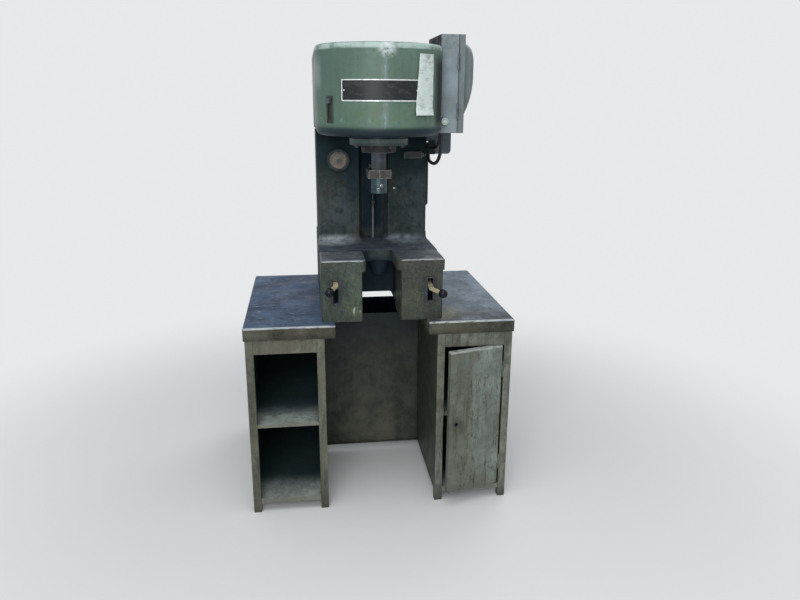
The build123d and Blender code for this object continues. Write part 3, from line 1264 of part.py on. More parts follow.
def motor():
    """Finned motor on its bell, with a fan cover on top."""
    z0 = BED_TOP
    z1 = z0 + MOTOR_BELL
    z2 = z1 + MOTOR_BODY
    z3 = z2 + FAN_COVER
    body = upright(PRESS_X, MOTOR_Y, z0, z1, MOTOR_BELL_R)
    body += upright(PRESS_X, MOTOR_Y, z0, z0 + 10, MOTOR_R)
    body += upright(PRESS_X, MOTOR_Y, z1, z3, MOTOR_R)
    for fin in range(MOTOR_FINS):
        rib = block(-MOTOR_FIN_THICK / 2, MOTOR_FIN_THICK / 2, 0, MOTOR_R + MOTOR_FIN,
                    z1 + 10, z2 - 10)
        body += Pos(PRESS_X, MOTOR_Y, 0) * Rot(0, 0, fin * 360 / MOTOR_FINS) * rib
    body = body - upright(PRESS_X, MOTOR_Y, z0 - 1, z1 - 10, MOTOR_BELL_R - 12)
    body = body - upright(PRESS_X, MOTOR_Y, z1 + 10, z2 - 10, MOTOR_BORE_R)
    body = body - upright(PRESS_X, MOTOR_Y, z2, z3 - 3, FAN_R + 4)
    body = body - upright(PRESS_X, MOTOR_Y, z0, z2 + 1, SHAFT_R + RUN_FIT)
    for ring in range(3):
        r = 18 + ring * 16
        grille = upright(PRESS_X, MOTOR_Y, z3 - 4, z3 + 1, r + 8) - upright(
            PRESS_X, MOTOR_Y, z3 - 4, z3 + 1, r)
        spokes = block(PRESS_X - MOTOR_R, PRESS_X + MOTOR_R, MOTOR_Y - 4, MOTOR_Y + 4,
                       z3 - 5, z3 + 2)
        body = body - (grille - spokes)
    return body


def motor_rotor():
    """Rotor on its shaft, with the fan above."""
    z1 = BED_TOP + MOTOR_BELL
    z2 = z1 + MOTOR_BODY
    rotor = upright(PRESS_X, MOTOR_Y, coupling_middle() + COUPLING_SPIDER / 2, z2 + 28, SHAFT_R)
    rotor += upright(PRESS_X, MOTOR_Y, z1 + 20, z2 - 20, ROTOR_R)
    rotor += upright(PRESS_X, MOTOR_Y, z2 + 3, z2 + 8, FAN_R)
    for blade in range(FAN_BLADES):
        vane = block(-1.5, 1.5, SHAFT_R - 2, FAN_R - 4, z2 + 8, z2 + 28)
        rotor += Pos(PRESS_X, MOTOR_Y, 0) * Rot(0, 0, blade * 360 / FAN_BLADES) * vane
    return rotor


def coupling_middle():
    """Height of the coupling's middle, inside the motor's bell."""
    return BED_TOP + MOTOR_BELL / 2 - 3


def coupling():
    """Two hubs with claws and a spider between them, as one set."""
    z = coupling_middle()
    spider = COUPLING_SPIDER / 2
    upper = upright(PRESS_X, MOTOR_Y, z + spider, z + spider + COUPLING_HALF, COUPLING_R)
    upper = upper - upright(PRESS_X, MOTOR_Y, z, z + 2 * COUPLING_HALF, SHAFT_R + RUN_FIT)
    lower = upright(PRESS_X, MOTOR_Y, z - spider - COUPLING_HALF, z - spider, COUPLING_R)
    lower = lower - upright(PRESS_X, MOTOR_Y, z - 2 * COUPLING_HALF, z, PUMP_SHAFT_R + RUN_FIT)
    middle = upright(PRESS_X, MOTOR_Y, z - spider, z + spider, COUPLING_R - 3)
    return upper + middle + lower


def pump():
    """Pump under the bed, inside the tank, with its strainer."""
    z1 = BED_UNDER
    z0 = z1 - PUMP_HEIGHT
    body = upright(PRESS_X, MOTOR_Y, z0, z1, PUMP_R)
    body = body - upright(PRESS_X, MOTOR_Y, z0 + 15, z1 + 1, PUMP_SHAFT_R + RUN_FIT)
    body = chamfer(body.edges().group_by(Axis.Z)[0], 5)
    return body + upright(PRESS_X, MOTOR_Y, z0 - STRAINER, z0, STRAINER_R)


def pump_shaft():
    """Shaft from the coupling down into the pump."""
    z0 = BED_UNDER - PUMP_HEIGHT + 16
    return upright(PRESS_X, MOTOR_Y, z0, coupling_middle() - COUPLING_SPIDER / 2, PUMP_SHAFT_R)


def louvre(x, z):
    """One pressed louvre: a sloping lip over its slot."""
    points = [(0, 0), (LOUVRE_PROUD, 0), (0, LOUVRE_HIGH)]
    wedge = extrude(make_face(Polyline(*points, close=True)), LOUVRE_WIDTH / 2, both=True)
    place = Plane(origin=(x, PRESS_BACK + COVER_SHEET, z), x_dir=(0, 1, 0), z_dir=(1, 0, 0))
    return place * wedge


def rear_cover(z0, z1, half, louvres, z_first):
    """Flat cover with two columns of louvres."""
    cover = block(PRESS_X - half, PRESS_X + half, PRESS_BACK, PRESS_BACK + COVER_SHEET, z0, z1)
    cover = fillet(cover.edges().filter_by(Axis.Y), 8)
    for side in (-1, 1):
        x = PRESS_X + side * (LOUVRE_WIDTH / 2 + LOUVRE_SIDE)
        for row in range(louvres):
            z = z_first + row * LOUVRE_PITCH
            cover += louvre(x, z)
            cover = cover - block(x - LOUVRE_WIDTH / 2 + 3, x + LOUVRE_WIDTH / 2 - 3,
                                  PRESS_BACK - 1, PRESS_BACK + COVER_SHEET + LOUVRE_PROUD - 2.5,
                                  z - 1, z + 5)
    return cover


def export_nodes(nodes):
    """Write one STEP file for each node, with Y counted from the middle."""
    os.makedirs("parts", exist_ok=True)
    for name, shape in nodes.items():
        solids = shape if isinstance(shape, list) else [shape]
        moved = [Pos(0, -MIDDLE_Y, 0) * solid for solid in solids]
        whole = moved[0] if len(moved) == 1 else Compound(children=moved)
        export_step(whole, "parts/" + name + ".step")


def bench_nodes():
    """Every piece of the bench."""
    shelf_front = SHEET_INSET
    behind_door = DOOR_THICK + DOOR_BOTTOM_GAP
    lip = BOTTOM_SHELF_TOP - TOE_GAP
    return {
        "table_top_left": table_top(-1),
        "table_top_right": table_top(1),
        "cabinet_left": cabinet(-1),
        "cabinet_right": cabinet(1),
        "middle_shelves": [shelf(-1, MID_SHELF_TOP, MID_SHELF_LIP, shelf_front),
                           shelf(1, MID_SHELF_TOP, MID_SHELF_LIP, behind_door)],
        "bottom_shelves": [shelf(-1, BOTTOM_SHELF_TOP, lip, shelf_front),
                           shelf(1, BOTTOM_SHELF_TOP, lip, shelf_front)],
        "knee_panel": knee_panel(),
        "bridge_shelf": bridge_shelf(),
        "cabinet_door": cabinet_door(),
        "hinge_pins": door_hinge_pins() + box_hinge_pins(),
    }


def lever_nodes():
    """The two lever housings and what they hold."""
    left = PRESS_X - PRESS_HALF
    right = PRESS_X + PRESS_HALF
    sets = (
        ("left", left, LEFT_HOUSING_INNER, 0, LEFT_LEVER_X, LEFT_KNOB_X, LEFT_PIVOT_Z, LEFT_DROOP),
        ("right", right, RIGHT_HOUSING_INNER, RIGHT_SIDE_INSET, RIGHT_LEVER_X, RIGHT_KNOB_X,
         RIGHT_PIVOT_Z, RIGHT_DROOP),
    )
    nodes = {"slot_plates": [], "lever_pivot_pins": [], "lever_springs": []}
    for name, outer, inner, inset, lever_x, knob_x, pivot_z, droop in sets:
        side = 1 if outer > 0 else -1
        nodes["lever_housing_" + name] = lever_housing(outer, inner, inset, pivot_z, lever_x)
        nodes["hand_lever_" + name] = hand_lever(lever_x, knob_x, pivot_z, droop)
        nodes["lever_knob_" + name] = lever_knob(lever_x, knob_x, pivot_z, droop)
        nodes["slot_plates"].append(slot_plate(lever_x))
        nodes["lever_pivot_pins"].append(lever_pivot_pin(outer, inner, inset, pivot_z))
        nodes["lever_springs"].append(lever_spring(lever_x, pivot_z, side))
    return nodes


def press_nodes():
    """Frame, head, cylinder, ram, valve and gauge."""
    return {
        "press_frame": press_frame(),
        "tank_cover": tank_cover(),
        "hold_down_bolts": hold_down_bolts(),
        "head_casting": head_casting(),
        "selector_plate": selector_plate(),
        "selector_tab": selector_tab(),
        "cylinder": cylinder(),
        "flange_bolts": flange_bolts(),
        "gland": gland(),
        "piston": piston(),
        "ram": ram(),
        "trip_arm": trip_arm(),
        "tool_holder": tool_holder(),
        "tool_screw": tool_screw(),
        "stroke_rod": stroke_rod(),
        "stop_collars": stop_collars(),
        "main_valve": main_valve(),
        "valve_spool": valve_spool(),
        "oil_pipes": [cylinder_pipe(), pump_pipe()],
        "gauge_case": gauge_case(),
        "gauge_dial": gauge_dial(),
        "gauge_needle": gauge_needle(),
        "gauge_glass": gauge_glass(),
        "pressure_valve": pressure_valve(),
        "pressure_adjuster": pressure_adjuster(),
    }


def power_nodes():
    """Switch box, wiring, motor, pump and rear covers."""
    lower = rear_cover(BED_TOP + COVER_EDGE, HEAD_BOTTOM - COVER_EDGE, COLUMN_HALF - 1,
                       LOWER_LOUVRE_COUNT, BED_TOP + LOWER_LOUVRE_UP)
    upper = rear_cover(HEAD_BOTTOM + COVER_EDGE, HEAD_TOP - COVER_EDGE - 1, PRESS_HALF - 1,
                       UPPER_LOUVRE_COUNT, HEAD_BOTTOM + UPPER_LOUVRE_UP)
    return {
        "switch_box": switch_box(),
        "switch_box_cover": switch_box_cover(),
        "supply_bushing": supply_bushing(),
        "motor_button": motor_button(),
        "starter": starter(),
        "box_bracket": box_bracket(),
        "junction_block": junction_block(),
        "conduits": [conduit_front(), conduit_rear()],
        "side_cable": side_cable(),
        "motor": motor(),
        "motor_rotor": motor_rotor(),
        "coupling": coupling(),
        "pump": pump(),
        "pump_shaft": pump_shaft(),
        "rear_covers": [lower, upper],
    }


def main():
    """Build every node and write the STEP files."""
    export_nodes({**bench_nodes(), **lever_nodes(), **press_nodes(), **power_nodes()})


main()
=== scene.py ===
from math import atan2, cos, pi, radians, sin

import bmesh
import bpy
from bpy.props import FloatProperty, FloatVectorProperty, IntProperty, PointerProperty
from mathutils import Matrix, Vector


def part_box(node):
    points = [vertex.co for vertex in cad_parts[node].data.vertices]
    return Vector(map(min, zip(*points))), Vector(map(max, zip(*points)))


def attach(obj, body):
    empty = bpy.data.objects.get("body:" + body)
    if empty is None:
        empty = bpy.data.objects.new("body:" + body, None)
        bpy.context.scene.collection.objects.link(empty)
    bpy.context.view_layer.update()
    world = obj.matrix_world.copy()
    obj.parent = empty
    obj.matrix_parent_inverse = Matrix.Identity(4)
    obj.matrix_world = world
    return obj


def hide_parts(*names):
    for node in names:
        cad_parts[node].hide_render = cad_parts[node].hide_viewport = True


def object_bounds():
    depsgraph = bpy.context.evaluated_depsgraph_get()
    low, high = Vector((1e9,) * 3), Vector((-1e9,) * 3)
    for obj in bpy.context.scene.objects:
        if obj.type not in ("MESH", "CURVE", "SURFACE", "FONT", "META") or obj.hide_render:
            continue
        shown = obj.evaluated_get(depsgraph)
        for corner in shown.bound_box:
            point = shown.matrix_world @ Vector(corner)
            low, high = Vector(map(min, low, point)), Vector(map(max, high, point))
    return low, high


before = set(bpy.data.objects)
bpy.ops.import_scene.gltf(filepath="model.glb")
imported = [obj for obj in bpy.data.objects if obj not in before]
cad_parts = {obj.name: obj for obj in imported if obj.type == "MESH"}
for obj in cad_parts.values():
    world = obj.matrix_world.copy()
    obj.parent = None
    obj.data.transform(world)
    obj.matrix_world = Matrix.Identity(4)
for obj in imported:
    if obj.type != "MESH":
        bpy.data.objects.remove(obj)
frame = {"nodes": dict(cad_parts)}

bl_info = {
    "name": "Bench Press Finish",
    "version": (1, 0, 0),
    "blender": (4, 5, 0),
    "location": "3D View > Sidebar > Press",
    "description": "Worn enamel, small hardware and a studio for the packed bench press",
    "category": "Object",
}

NODES = frame["nodes"]
ROOT = "bench_and_frame"
CAD_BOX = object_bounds()

# Axes of a position, and the ways that front and upper faces look
X, Y, Z = 0, 1, 2
FRONT = (0, -1, 0)
UP = (0, 0, 1)

# How far the bench's front plane lies before the origin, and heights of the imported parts;
# the rear covers start at the bed's top
BENCH_Y = -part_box("cabinet_left")[0][Y]
TABLE_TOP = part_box("table_top_left")[1][Z]
HOUSING_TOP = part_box("lever_housing_left")[1][Z]
BED_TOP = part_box("rear_covers")[0][Z]
HEAD_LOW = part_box("head_casting")[0][Z]
HEAD_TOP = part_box("head_casting")[1][Z]

# The head's round front: its radius and the axis that it turns about
HEAD_R = (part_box("head_casting")[1][X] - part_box("head_casting")[0][X]) / 2
HEAD_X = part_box("head_casting")[0][X] + HEAD_R
HEAD_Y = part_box("head_casting")[0][Y] + HEAD_R

# Colour of the backdrop, and of the floor far from the press
BACKDROP = (0.80, 0.81, 0.82)

# The photograph's camera: its place, its turns and its lens on a 36 mm sensor
CAMERA_PLACE = (-0.25079, -2.62083, 1.46108)
CAMERA_TURNS = (radians(7.8521), radians(16.1465), radians(-0.3387))
CAMERA_LENS = 31.1625

# The gauge's scale: where it starts, how far it sweeps clockwise, and its plain numbers
DIAL_START = 225.0
DIAL_SWEEP = 270.0
DIAL_NUMBERS = ("0", "1", "2", "3", "4")

# The nameplate's pins stand this far in from its ends
PIN_INSET = radians(2.6)

# Across and up: the slot plates' screws, from the plates' middle height
SLOT_SCREWS_X = (-0.156, 0.1755)
SLOT_SCREWS_UP = 0.0435

# Across and up: the rear covers' screws
COVER_SCREWS = ((-0.192, 1.356), (0.214, 1.356), (-0.192, 1.619), (0.214, 1.619), (-0.189, 0.943),
                (0.211, 0.943), (-0.189, 1.326), (0.211, 1.326), (0.011, 0.943), (0.011, 1.356))

# The holder's two set screws: turn in degrees from straight ahead, share of the holder's height
SET_SCREWS = ((-9.0, 0.28), (12.0, 0.53))

# The two conduits' routes from the switch box to the junction block, in the bench's millimetres
CONDUIT_ROUTES = (((244, 234, 1348), (244, 234, 1290), (240, 300, 1228), (236, 464, 1226),
                   (236, 464, 1262)),
                  ((244, 268, 1348), (244, 268, 1315), (236, 318, 1281), (236, 446, 1281)))

# The rear covers' outer plane
REAR_Y = 0.3924

# The door's lock hole, with the door ajar
DOOR_HOLE = (0.2649, -0.3911, 0.333)


def on_bench(x, y, z):
    """A point given in the bench's own millimetres, in metres here."""
    return Vector((x / 1000, y / 1000 - BENCH_Y, z / 1000))


def front_middle(name):
    """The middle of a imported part's front."""
    low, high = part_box(name)
    return Vector(((low[X] + high[X]) / 2, low[Y], (low[Z] + high[Z]) / 2))


# Places of the column's plug, the box's knock-out and the bracket's grommet
PLUG = on_bench(96, 425.2, 1128)
KNOCKOUT = on_bench(248.8, 190.1, 1638.5)
GROMMET = on_bench(239, 408.5, 1285.5)

# Places of painted highlights at the column's foot on both sides, and of stained spots on the right
# top
LEFT_FOOT = on_bench(-140, 392, 926)
RIGHT_FOOT = on_bench(132, 398, 926)
OIL_STAIN = on_bench(215, 120, 711)
RUST_SPOT = on_bench(222, 166, 711)


# Materials


class Finish:
    """A node material, with short calls that add nodes and hand back their outputs."""

    def __init__(self, name):
        self.material = bpy.data.materials.new(name)
        self.material.use_nodes = True
        self.tree = self.material.node_tree
        self.shader = self.tree.nodes["Principled BSDF"]
        self.place = self.add("ShaderNodeTexCoord").outputs["Object"]
        self.parts = self.add("ShaderNodeSeparateXYZ", Vector=self.place).outputs

    def add(self, kind, settings=None, **inputs):
        """A node with its settings made and its inputs set or linked."""
        node = self.tree.nodes.new(kind)
        for key, value in (settings or {}).items():
            setattr(node, key, value)
        for key, value in inputs.items():
            self.feed(node.inputs[key.replace("_", " ")], value)
        return node

    def feed(self, socket, value):
        """Links an output to a socket, or sets the socket's own value."""
        if isinstance(value, bpy.types.NodeSocket):
            self.tree.links.new(value, socket)
        elif socket.type == "RGBA":
            socket.default_value = (*value[:3], 1.0)
        else:
            socket.default_value = value

    def stretched(self, scale, turn=(0.0, 0.0, 0.0), move=(0.0, 0.0, 0.0)):
        """The object's coordinates turned, moved and scaled for a pattern."""
        node = self.add("ShaderNodeMapping", Vector=self.place, Rotation=turn, Scale=scale,
                        Location=move)
        return node.outputs["Vector"]

    def noise(self, scale, detail=5.0, rough=0.6, where=None, warp=0.0):
        """Fractal noise from 0 to 1 about 0.5."""
        node = self.add("ShaderNodeTexNoise", Vector=where or self.place, Scale=scale,
                        Detail=detail, Roughness=rough, Distortion=warp)
        return node.outputs["Fac"]

    def step(self, value, low, high, out_low=0.0, out_high=1.0):
        """Smooth rise of a value from out_low at low to out_high at high."""
        node = self.add("ShaderNodeMapRange", {"interpolation_type": "SMOOTHSTEP"})
        for key, given in zip(("Value", "From Min", "From Max", "To Min", "To Max"),
                              (value, low, high, out_low, out_high)):
            self.feed(node.inputs[key], given)
        return node.outputs["Result"]

    def patches(self, size, start, full, detail=5.0, rough=0.6, low=0.0, high=1.0, move=(0, 0, 0),
                warp=0.0):
        """Ragged patches where noise rises from start to full, of one scale or one for each axis."""
        where = None
        if isinstance(size, tuple):
            where = self.stretched(size, move=move)
            size = 1.0
        elif any(move):
            where = self.stretched((1, 1, 1), move=move)
        return self.step(self.noise(size, detail, rough, where, warp), start, full, low, high)

    def maths(self, how, first, second=0.0):
        """One arithmetic step, clamped to 0 to 1."""
        node = self.add("ShaderNodeMath", {"operation": how, "use_clamp": True})
        self.feed(node.inputs[0], first)
        self.feed(node.inputs[1], second)
        return node.outputs[0]

    def times(self, *values):
        """The product of masks and plain factors."""
        result = values[0]
        for value in values[1:]:
            result = self.maths("MULTIPLY", result, value)
        return result

    def mix(self, factor, first, second):
        """Two colours mixed by a mask."""
        node = self.add("ShaderNodeMix", {"data_type": "RGBA", "blend_type": "MIX"})
        self.feed(node.inputs["Factor"], factor)
        self.feed(node.inputs[6], first)
        self.feed(node.inputs[7], second)
        return node.outputs[2]

    def over(self, colour, tone, *masks):
        """A tone laid over a colour where all its masks are."""
        return self.mix(self.times(*masks), colour, tone)

    def band(self, axis, low, high, soft):
        """1 between two planes square to an axis, fading over a soft distance."""
        up = self.step(self.parts[axis], low - soft, low + soft)
        down = self.step(self.parts[axis], high - soft, high + soft, 1.0, 0.0)
        return self.times(up, down)

    def near(self, point, inner, outer):
        """1 within a distance of a point, fading to 0 at the outer distance."""
        away = self.add("ShaderNodeVectorMath", {"operation": "DISTANCE"})
        self.feed(away.inputs[0], self.place)
        away.inputs[1].default_value = point
        return self.step(away.outputs["Value"], inner, outer, 1.0, 0.0)

    def facing(self, way):
        """1 where the surface faces along a direction, in the object's own axes."""
        normal = self.add("ShaderNodeNewGeometry").outputs["Normal"]
        dot = self.add("ShaderNodeVectorMath", {"operation": "DOT_PRODUCT"})
        self.feed(dot.inputs[0], normal)
        dot.inputs[1].default_value = way
        return self.step(dot.outputs["Value"], 0.45, 0.9)

    def edges(self, radius):
        """1 along edges and corners, from the difference that a bevel would make."""
        soft = self.add("ShaderNodeBevel", {"samples": 4}, Radius=radius).outputs["Normal"]
        normal = self.add("ShaderNodeNewGeometry").outputs["Normal"]
        dot = self.add("ShaderNodeVectorMath", {"operation": "DOT_PRODUCT"})
        self.feed(dot.inputs[0], soft)
        self.feed(dot.inputs[1], normal)
        return self.step(dot.outputs["Value"], 0.80, 0.985, 1.0, 0.0)

    def corners(self, reach):
        """1 deep in creases and inner corners, 0 in the open."""
        open_air = self.add("ShaderNodeAmbientOcclusion", {"samples": 6}, Distance=reach)
        return self.step(open_air.outputs["AO"], 0.35, 0.92, 1.0, 0.0)

    def scratches(self, turn, stretch, width, seed):
        """Thin broken lines: contours of stretched noise, kept in patches."""
        where = self.stretched(stretch, (0.0, 0.0, turn), (seed, seed * 2.0, seed * 3.0))
        value = self.noise(1.0, 2.0, 0.5, where)
        line = self.maths("COMPARE", value, 0.5)
        line.node.inputs[2].default_value = width
        return self.times(line, self.patches(9.0 + seed, 0.50, 0.62, 3.0))

    def bump(self, height, strength, depth=0.001, under=None):
        """A bump from a height pattern, on top of another where one is given."""
        node = self.add("ShaderNodeBump", Height=height, Strength=strength, Distance=depth)
        if under is not None:
            self.feed(node.inputs["Normal"], under)
        return node.outputs["Normal"]

    def finish(self, colour, roughness, normal=None, metallic=0.0, coat=0.0, level=0.5):
        """Sets the shader and hands back the material."""
        self.feed(self.shader.inputs["Base Color"], colour)
        self.feed(self.shader.inputs["Roughness"], roughness)
        self.feed(self.shader.inputs["Metallic"], metallic)
        self.shader.inputs["Coat Weight"].default_value = coat
        self.shader.inputs["Coat Roughness"].default_value = 0.18
        self.shader.inputs["Specular IOR Level"].default_value = level
        if normal is not None:
            self.feed(self.shader.inputs["Normal"], normal)
        return self.material


def shade(colour, factor):
    """A colour made darker or lighter."""
    return tuple(min(1.0, channel * factor) for channel in colour[:3])


def blend(first, second, share):
    """A colour between two others."""
    return tuple(a * (1 - share) + b * share for a, b in zip(first[:3], second[:3]))


def enamel(f, paint, wear, amount=1.0, streak=0.45, blotch=0.35, seed=0.0):
    """Old enamel: uneven tone, runs of grime, dirt with painted shade in the creases, and rubbed
    edges.
    """
    tone = f.patches(5.0 + seed, 0.40, 0.61, 6.0, 0.65)
    colour = f.mix(tone, shade(paint, 1.0 - blotch * 0.8), shade(paint, 1.0 + blotch * 0.6))
    cast = f.patches(2.3 + seed, 0.42, 0.60, 4.0, 0.5)
    colour = f.over(colour, shade(blend(paint, wear.stain, 0.45), 0.95), cast, 0.45)
    fine = f.patches(70.0, 0.40, 0.62, 5.0, 0.7)
    colour = f.over(colour, shade(paint, 1.6), fine, blotch * 0.55)
    tall = f.patches((85.0, 85.0, 5.0), 0.50, 0.68, 6.0, 0.62, move=(seed, 0, 0), warp=0.4)
    colour = f.over(colour, wear.grime, tall, streak)
    pale = f.patches((60.0, 60.0, 3.5), 0.54, 0.70, move=(3.1 + seed, 1, 4))
    colour = f.over(colour, shade(paint, 1.7), pale, streak * 0.55)
    spots = f.patches(120.0, 0.58, 0.70, 3.0, 0.7)
    colour = f.over(colour, shade(paint, 0.45), spots, 0.45)
    # dirt and painted shade in creases and inner corners, where ambient occlusion is low
    dirt = f.corners(0.03)
    colour = f.over(colour, wear.grime, dirt, 0.8, f.patches(18.0, 0.25, 0.6))
    ragged = f.patches(70.0, 0.42, 0.62, 4.0, 0.65)
    worn = f.times(f.edges(0.0022), ragged, amount)
    colour = f.over(colour, wear.bare, worn)
    chips = f.times(f.patches(26.0 + seed, 0.69, 0.72, 5.0, 0.7), amount)
    colour = f.over(colour, wear.bare, chips)
    return colour, worn, chips


def enamel_surface(f, worn, chips, low, high, grain=0.10):
    """Roughness and bump of old enamel, rougher in its dirt and chips."""
    rough = f.patches(14.0, 0.35, 0.7, 5.0, 0.7, low=low, high=high)
    bump = f.bump(f.noise(34.0, 4.0, 0.6), grain, 0.004)
    bump = f.bump(f.noise(420.0, 2.0, 0.6), grain * 0.7, 0.0006, bump)
    bump = f.bump(f.maths("ADD", worn, chips), -0.25, 0.0007, bump)
    return rough, bump


def head_enamel(props, wear):
    """Glossy green of the head: a rubbed seam in front with a painted highlight, a lower band of soot
    and painted shade, a pale upper rim with a painted highlight, painted shade on the left, a painted
    reflection far left, a painted glint and a painted shadow beside the box.
    """
    f = Finish("head gloss enamel")
    colour, worn, chips = enamel(f, props.head, wear, 0.22, 0.14, 0.15)
    front = f.band(Y, -1.0, HEAD_Y, 0.02)
    shadow = f.step(f.parts[X], -0.200, -0.06, 1.0, 0.0)
    colour = f.over(colour, (0.040, 0.088, 0.078), shadow, 0.5)
    ragged = f.patches((70.0, 70.0, 8.0), 0.38, 0.60, 5.0, 0.75)
    # the seam down the front: rubbed paint and a painted vertical highlight
    seam = f.times(f.band(X, -0.004, 0.020, 0.007), front, ragged)
    colour = f.over(colour, (0.155, 0.215, 0.215), seam, 0.72)
    # its brightest middle: painted highlight over rubbed paint
    seam_highlight_core = f.times(f.band(X, 0.006, 0.012, 0.003), front,
                   f.patches((90.0, 90.0, 26.0), 0.44, 0.58, 5.0, 0.75))
    colour = f.over(colour, (0.250, 0.275, 0.330), seam_highlight_core, 0.8)
    # painted reflection: a pale vertical band on the far left side
    glow = f.times(f.band(Z, HEAD_TOP - 0.134, HEAD_TOP - 0.049, 0.03),
                   f.step(f.parts[X], -0.196, -0.182, 1.0, 0.0))
    colour = f.over(colour, (0.22, 0.27, 0.26), glow, 0.6)
    # dark lower band: grime, with painted shade where the head curves under
    low = f.times(f.band(Z, HEAD_LOW - 0.034, HEAD_LOW + 0.039, 0.008),
                  f.patches(26.0, 0.10, 0.45, low=0.85, high=1.0))
    colour = f.over(colour, (0.008, 0.020, 0.025), low)
    olive = f.times(f.band(Z, HEAD_LOW + 0.056, HEAD_LOW + 0.121, 0.025), front,
                    f.patches(19.0, 0.42, 0.60, 6.0, 0.7))
    colour = f.over(colour, (0.082, 0.125, 0.066), olive, 0.55)
    nicks = f.times(f.patches(64.0, 0.64, 0.68, 4.0, 0.7), front,
                    f.step(f.parts[Z], HEAD_LOW + 0.041, HEAD_LOW + 0.056))
    colour = f.over(colour, (0.030, 0.045, 0.040), nicks, 0.6)
    rubbed = f.times(f.band(Z, HEAD_LOW + 0.050, HEAD_LOW + 0.076, 0.012), front,
                     f.patches(60.0, 0.52, 0.68, 5.0, 0.7))
    colour = f.over(colour, shade(props.head, 1.9), rubbed, 0.4)
    # pale upper rim: worn paint and a painted highlight along the rounded top edge, weaker on the
    # lid's flat top
    lid = f.step(f.facing(UP), 0.0, 1.0, 1.0, 0.4)
    rim = f.times(f.band(Z, HEAD_TOP - 0.0185, HEAD_TOP + 0.066, 0.003),
                  f.patches(16.0, 0.30, 0.56, 4.0), lid)
    colour = f.over(colour, (0.38, 0.49, 0.455), rim, 0.85)
    # painted glint on the top rim at the front
    rim_glint = f.times(f.near((HEAD_X + 0.005, HEAD_Y - HEAD_R, HEAD_TOP - 0.018), 0.008, 0.040),
                    f.patches(60.0, 0.35, 0.6))
    colour = f.over(colour, (0.56, 0.60, 0.62), rim_glint, 0.8)
    # painted shadow on the head's right side beside the switch box, rougher there too
    box_shadow = f.times(f.step(f.parts[X], 0.174, 0.200),
                  f.band(Z, HEAD_LOW + 0.041, HEAD_TOP - 0.042, 0.026),
                  f.band(Y, -0.34, 0.04, 0.06),
                  f.patches((30.0, 30.0, 12.0), 0.18, 0.42, 5.0, 0.7, low=0.72, high=1.0))
    colour = f.over(colour, (0.010, 0.015, 0.016), box_shadow, 0.94)
    rough, bump = enamel_surface(f, worn, chips, 0.42, 0.58, 0.05)
    rough = f.maths("ADD", rough, f.times(box_shadow, 0.5))
    return f.finish(colour, rough, bump, 0.0, 0.05, 0.25)


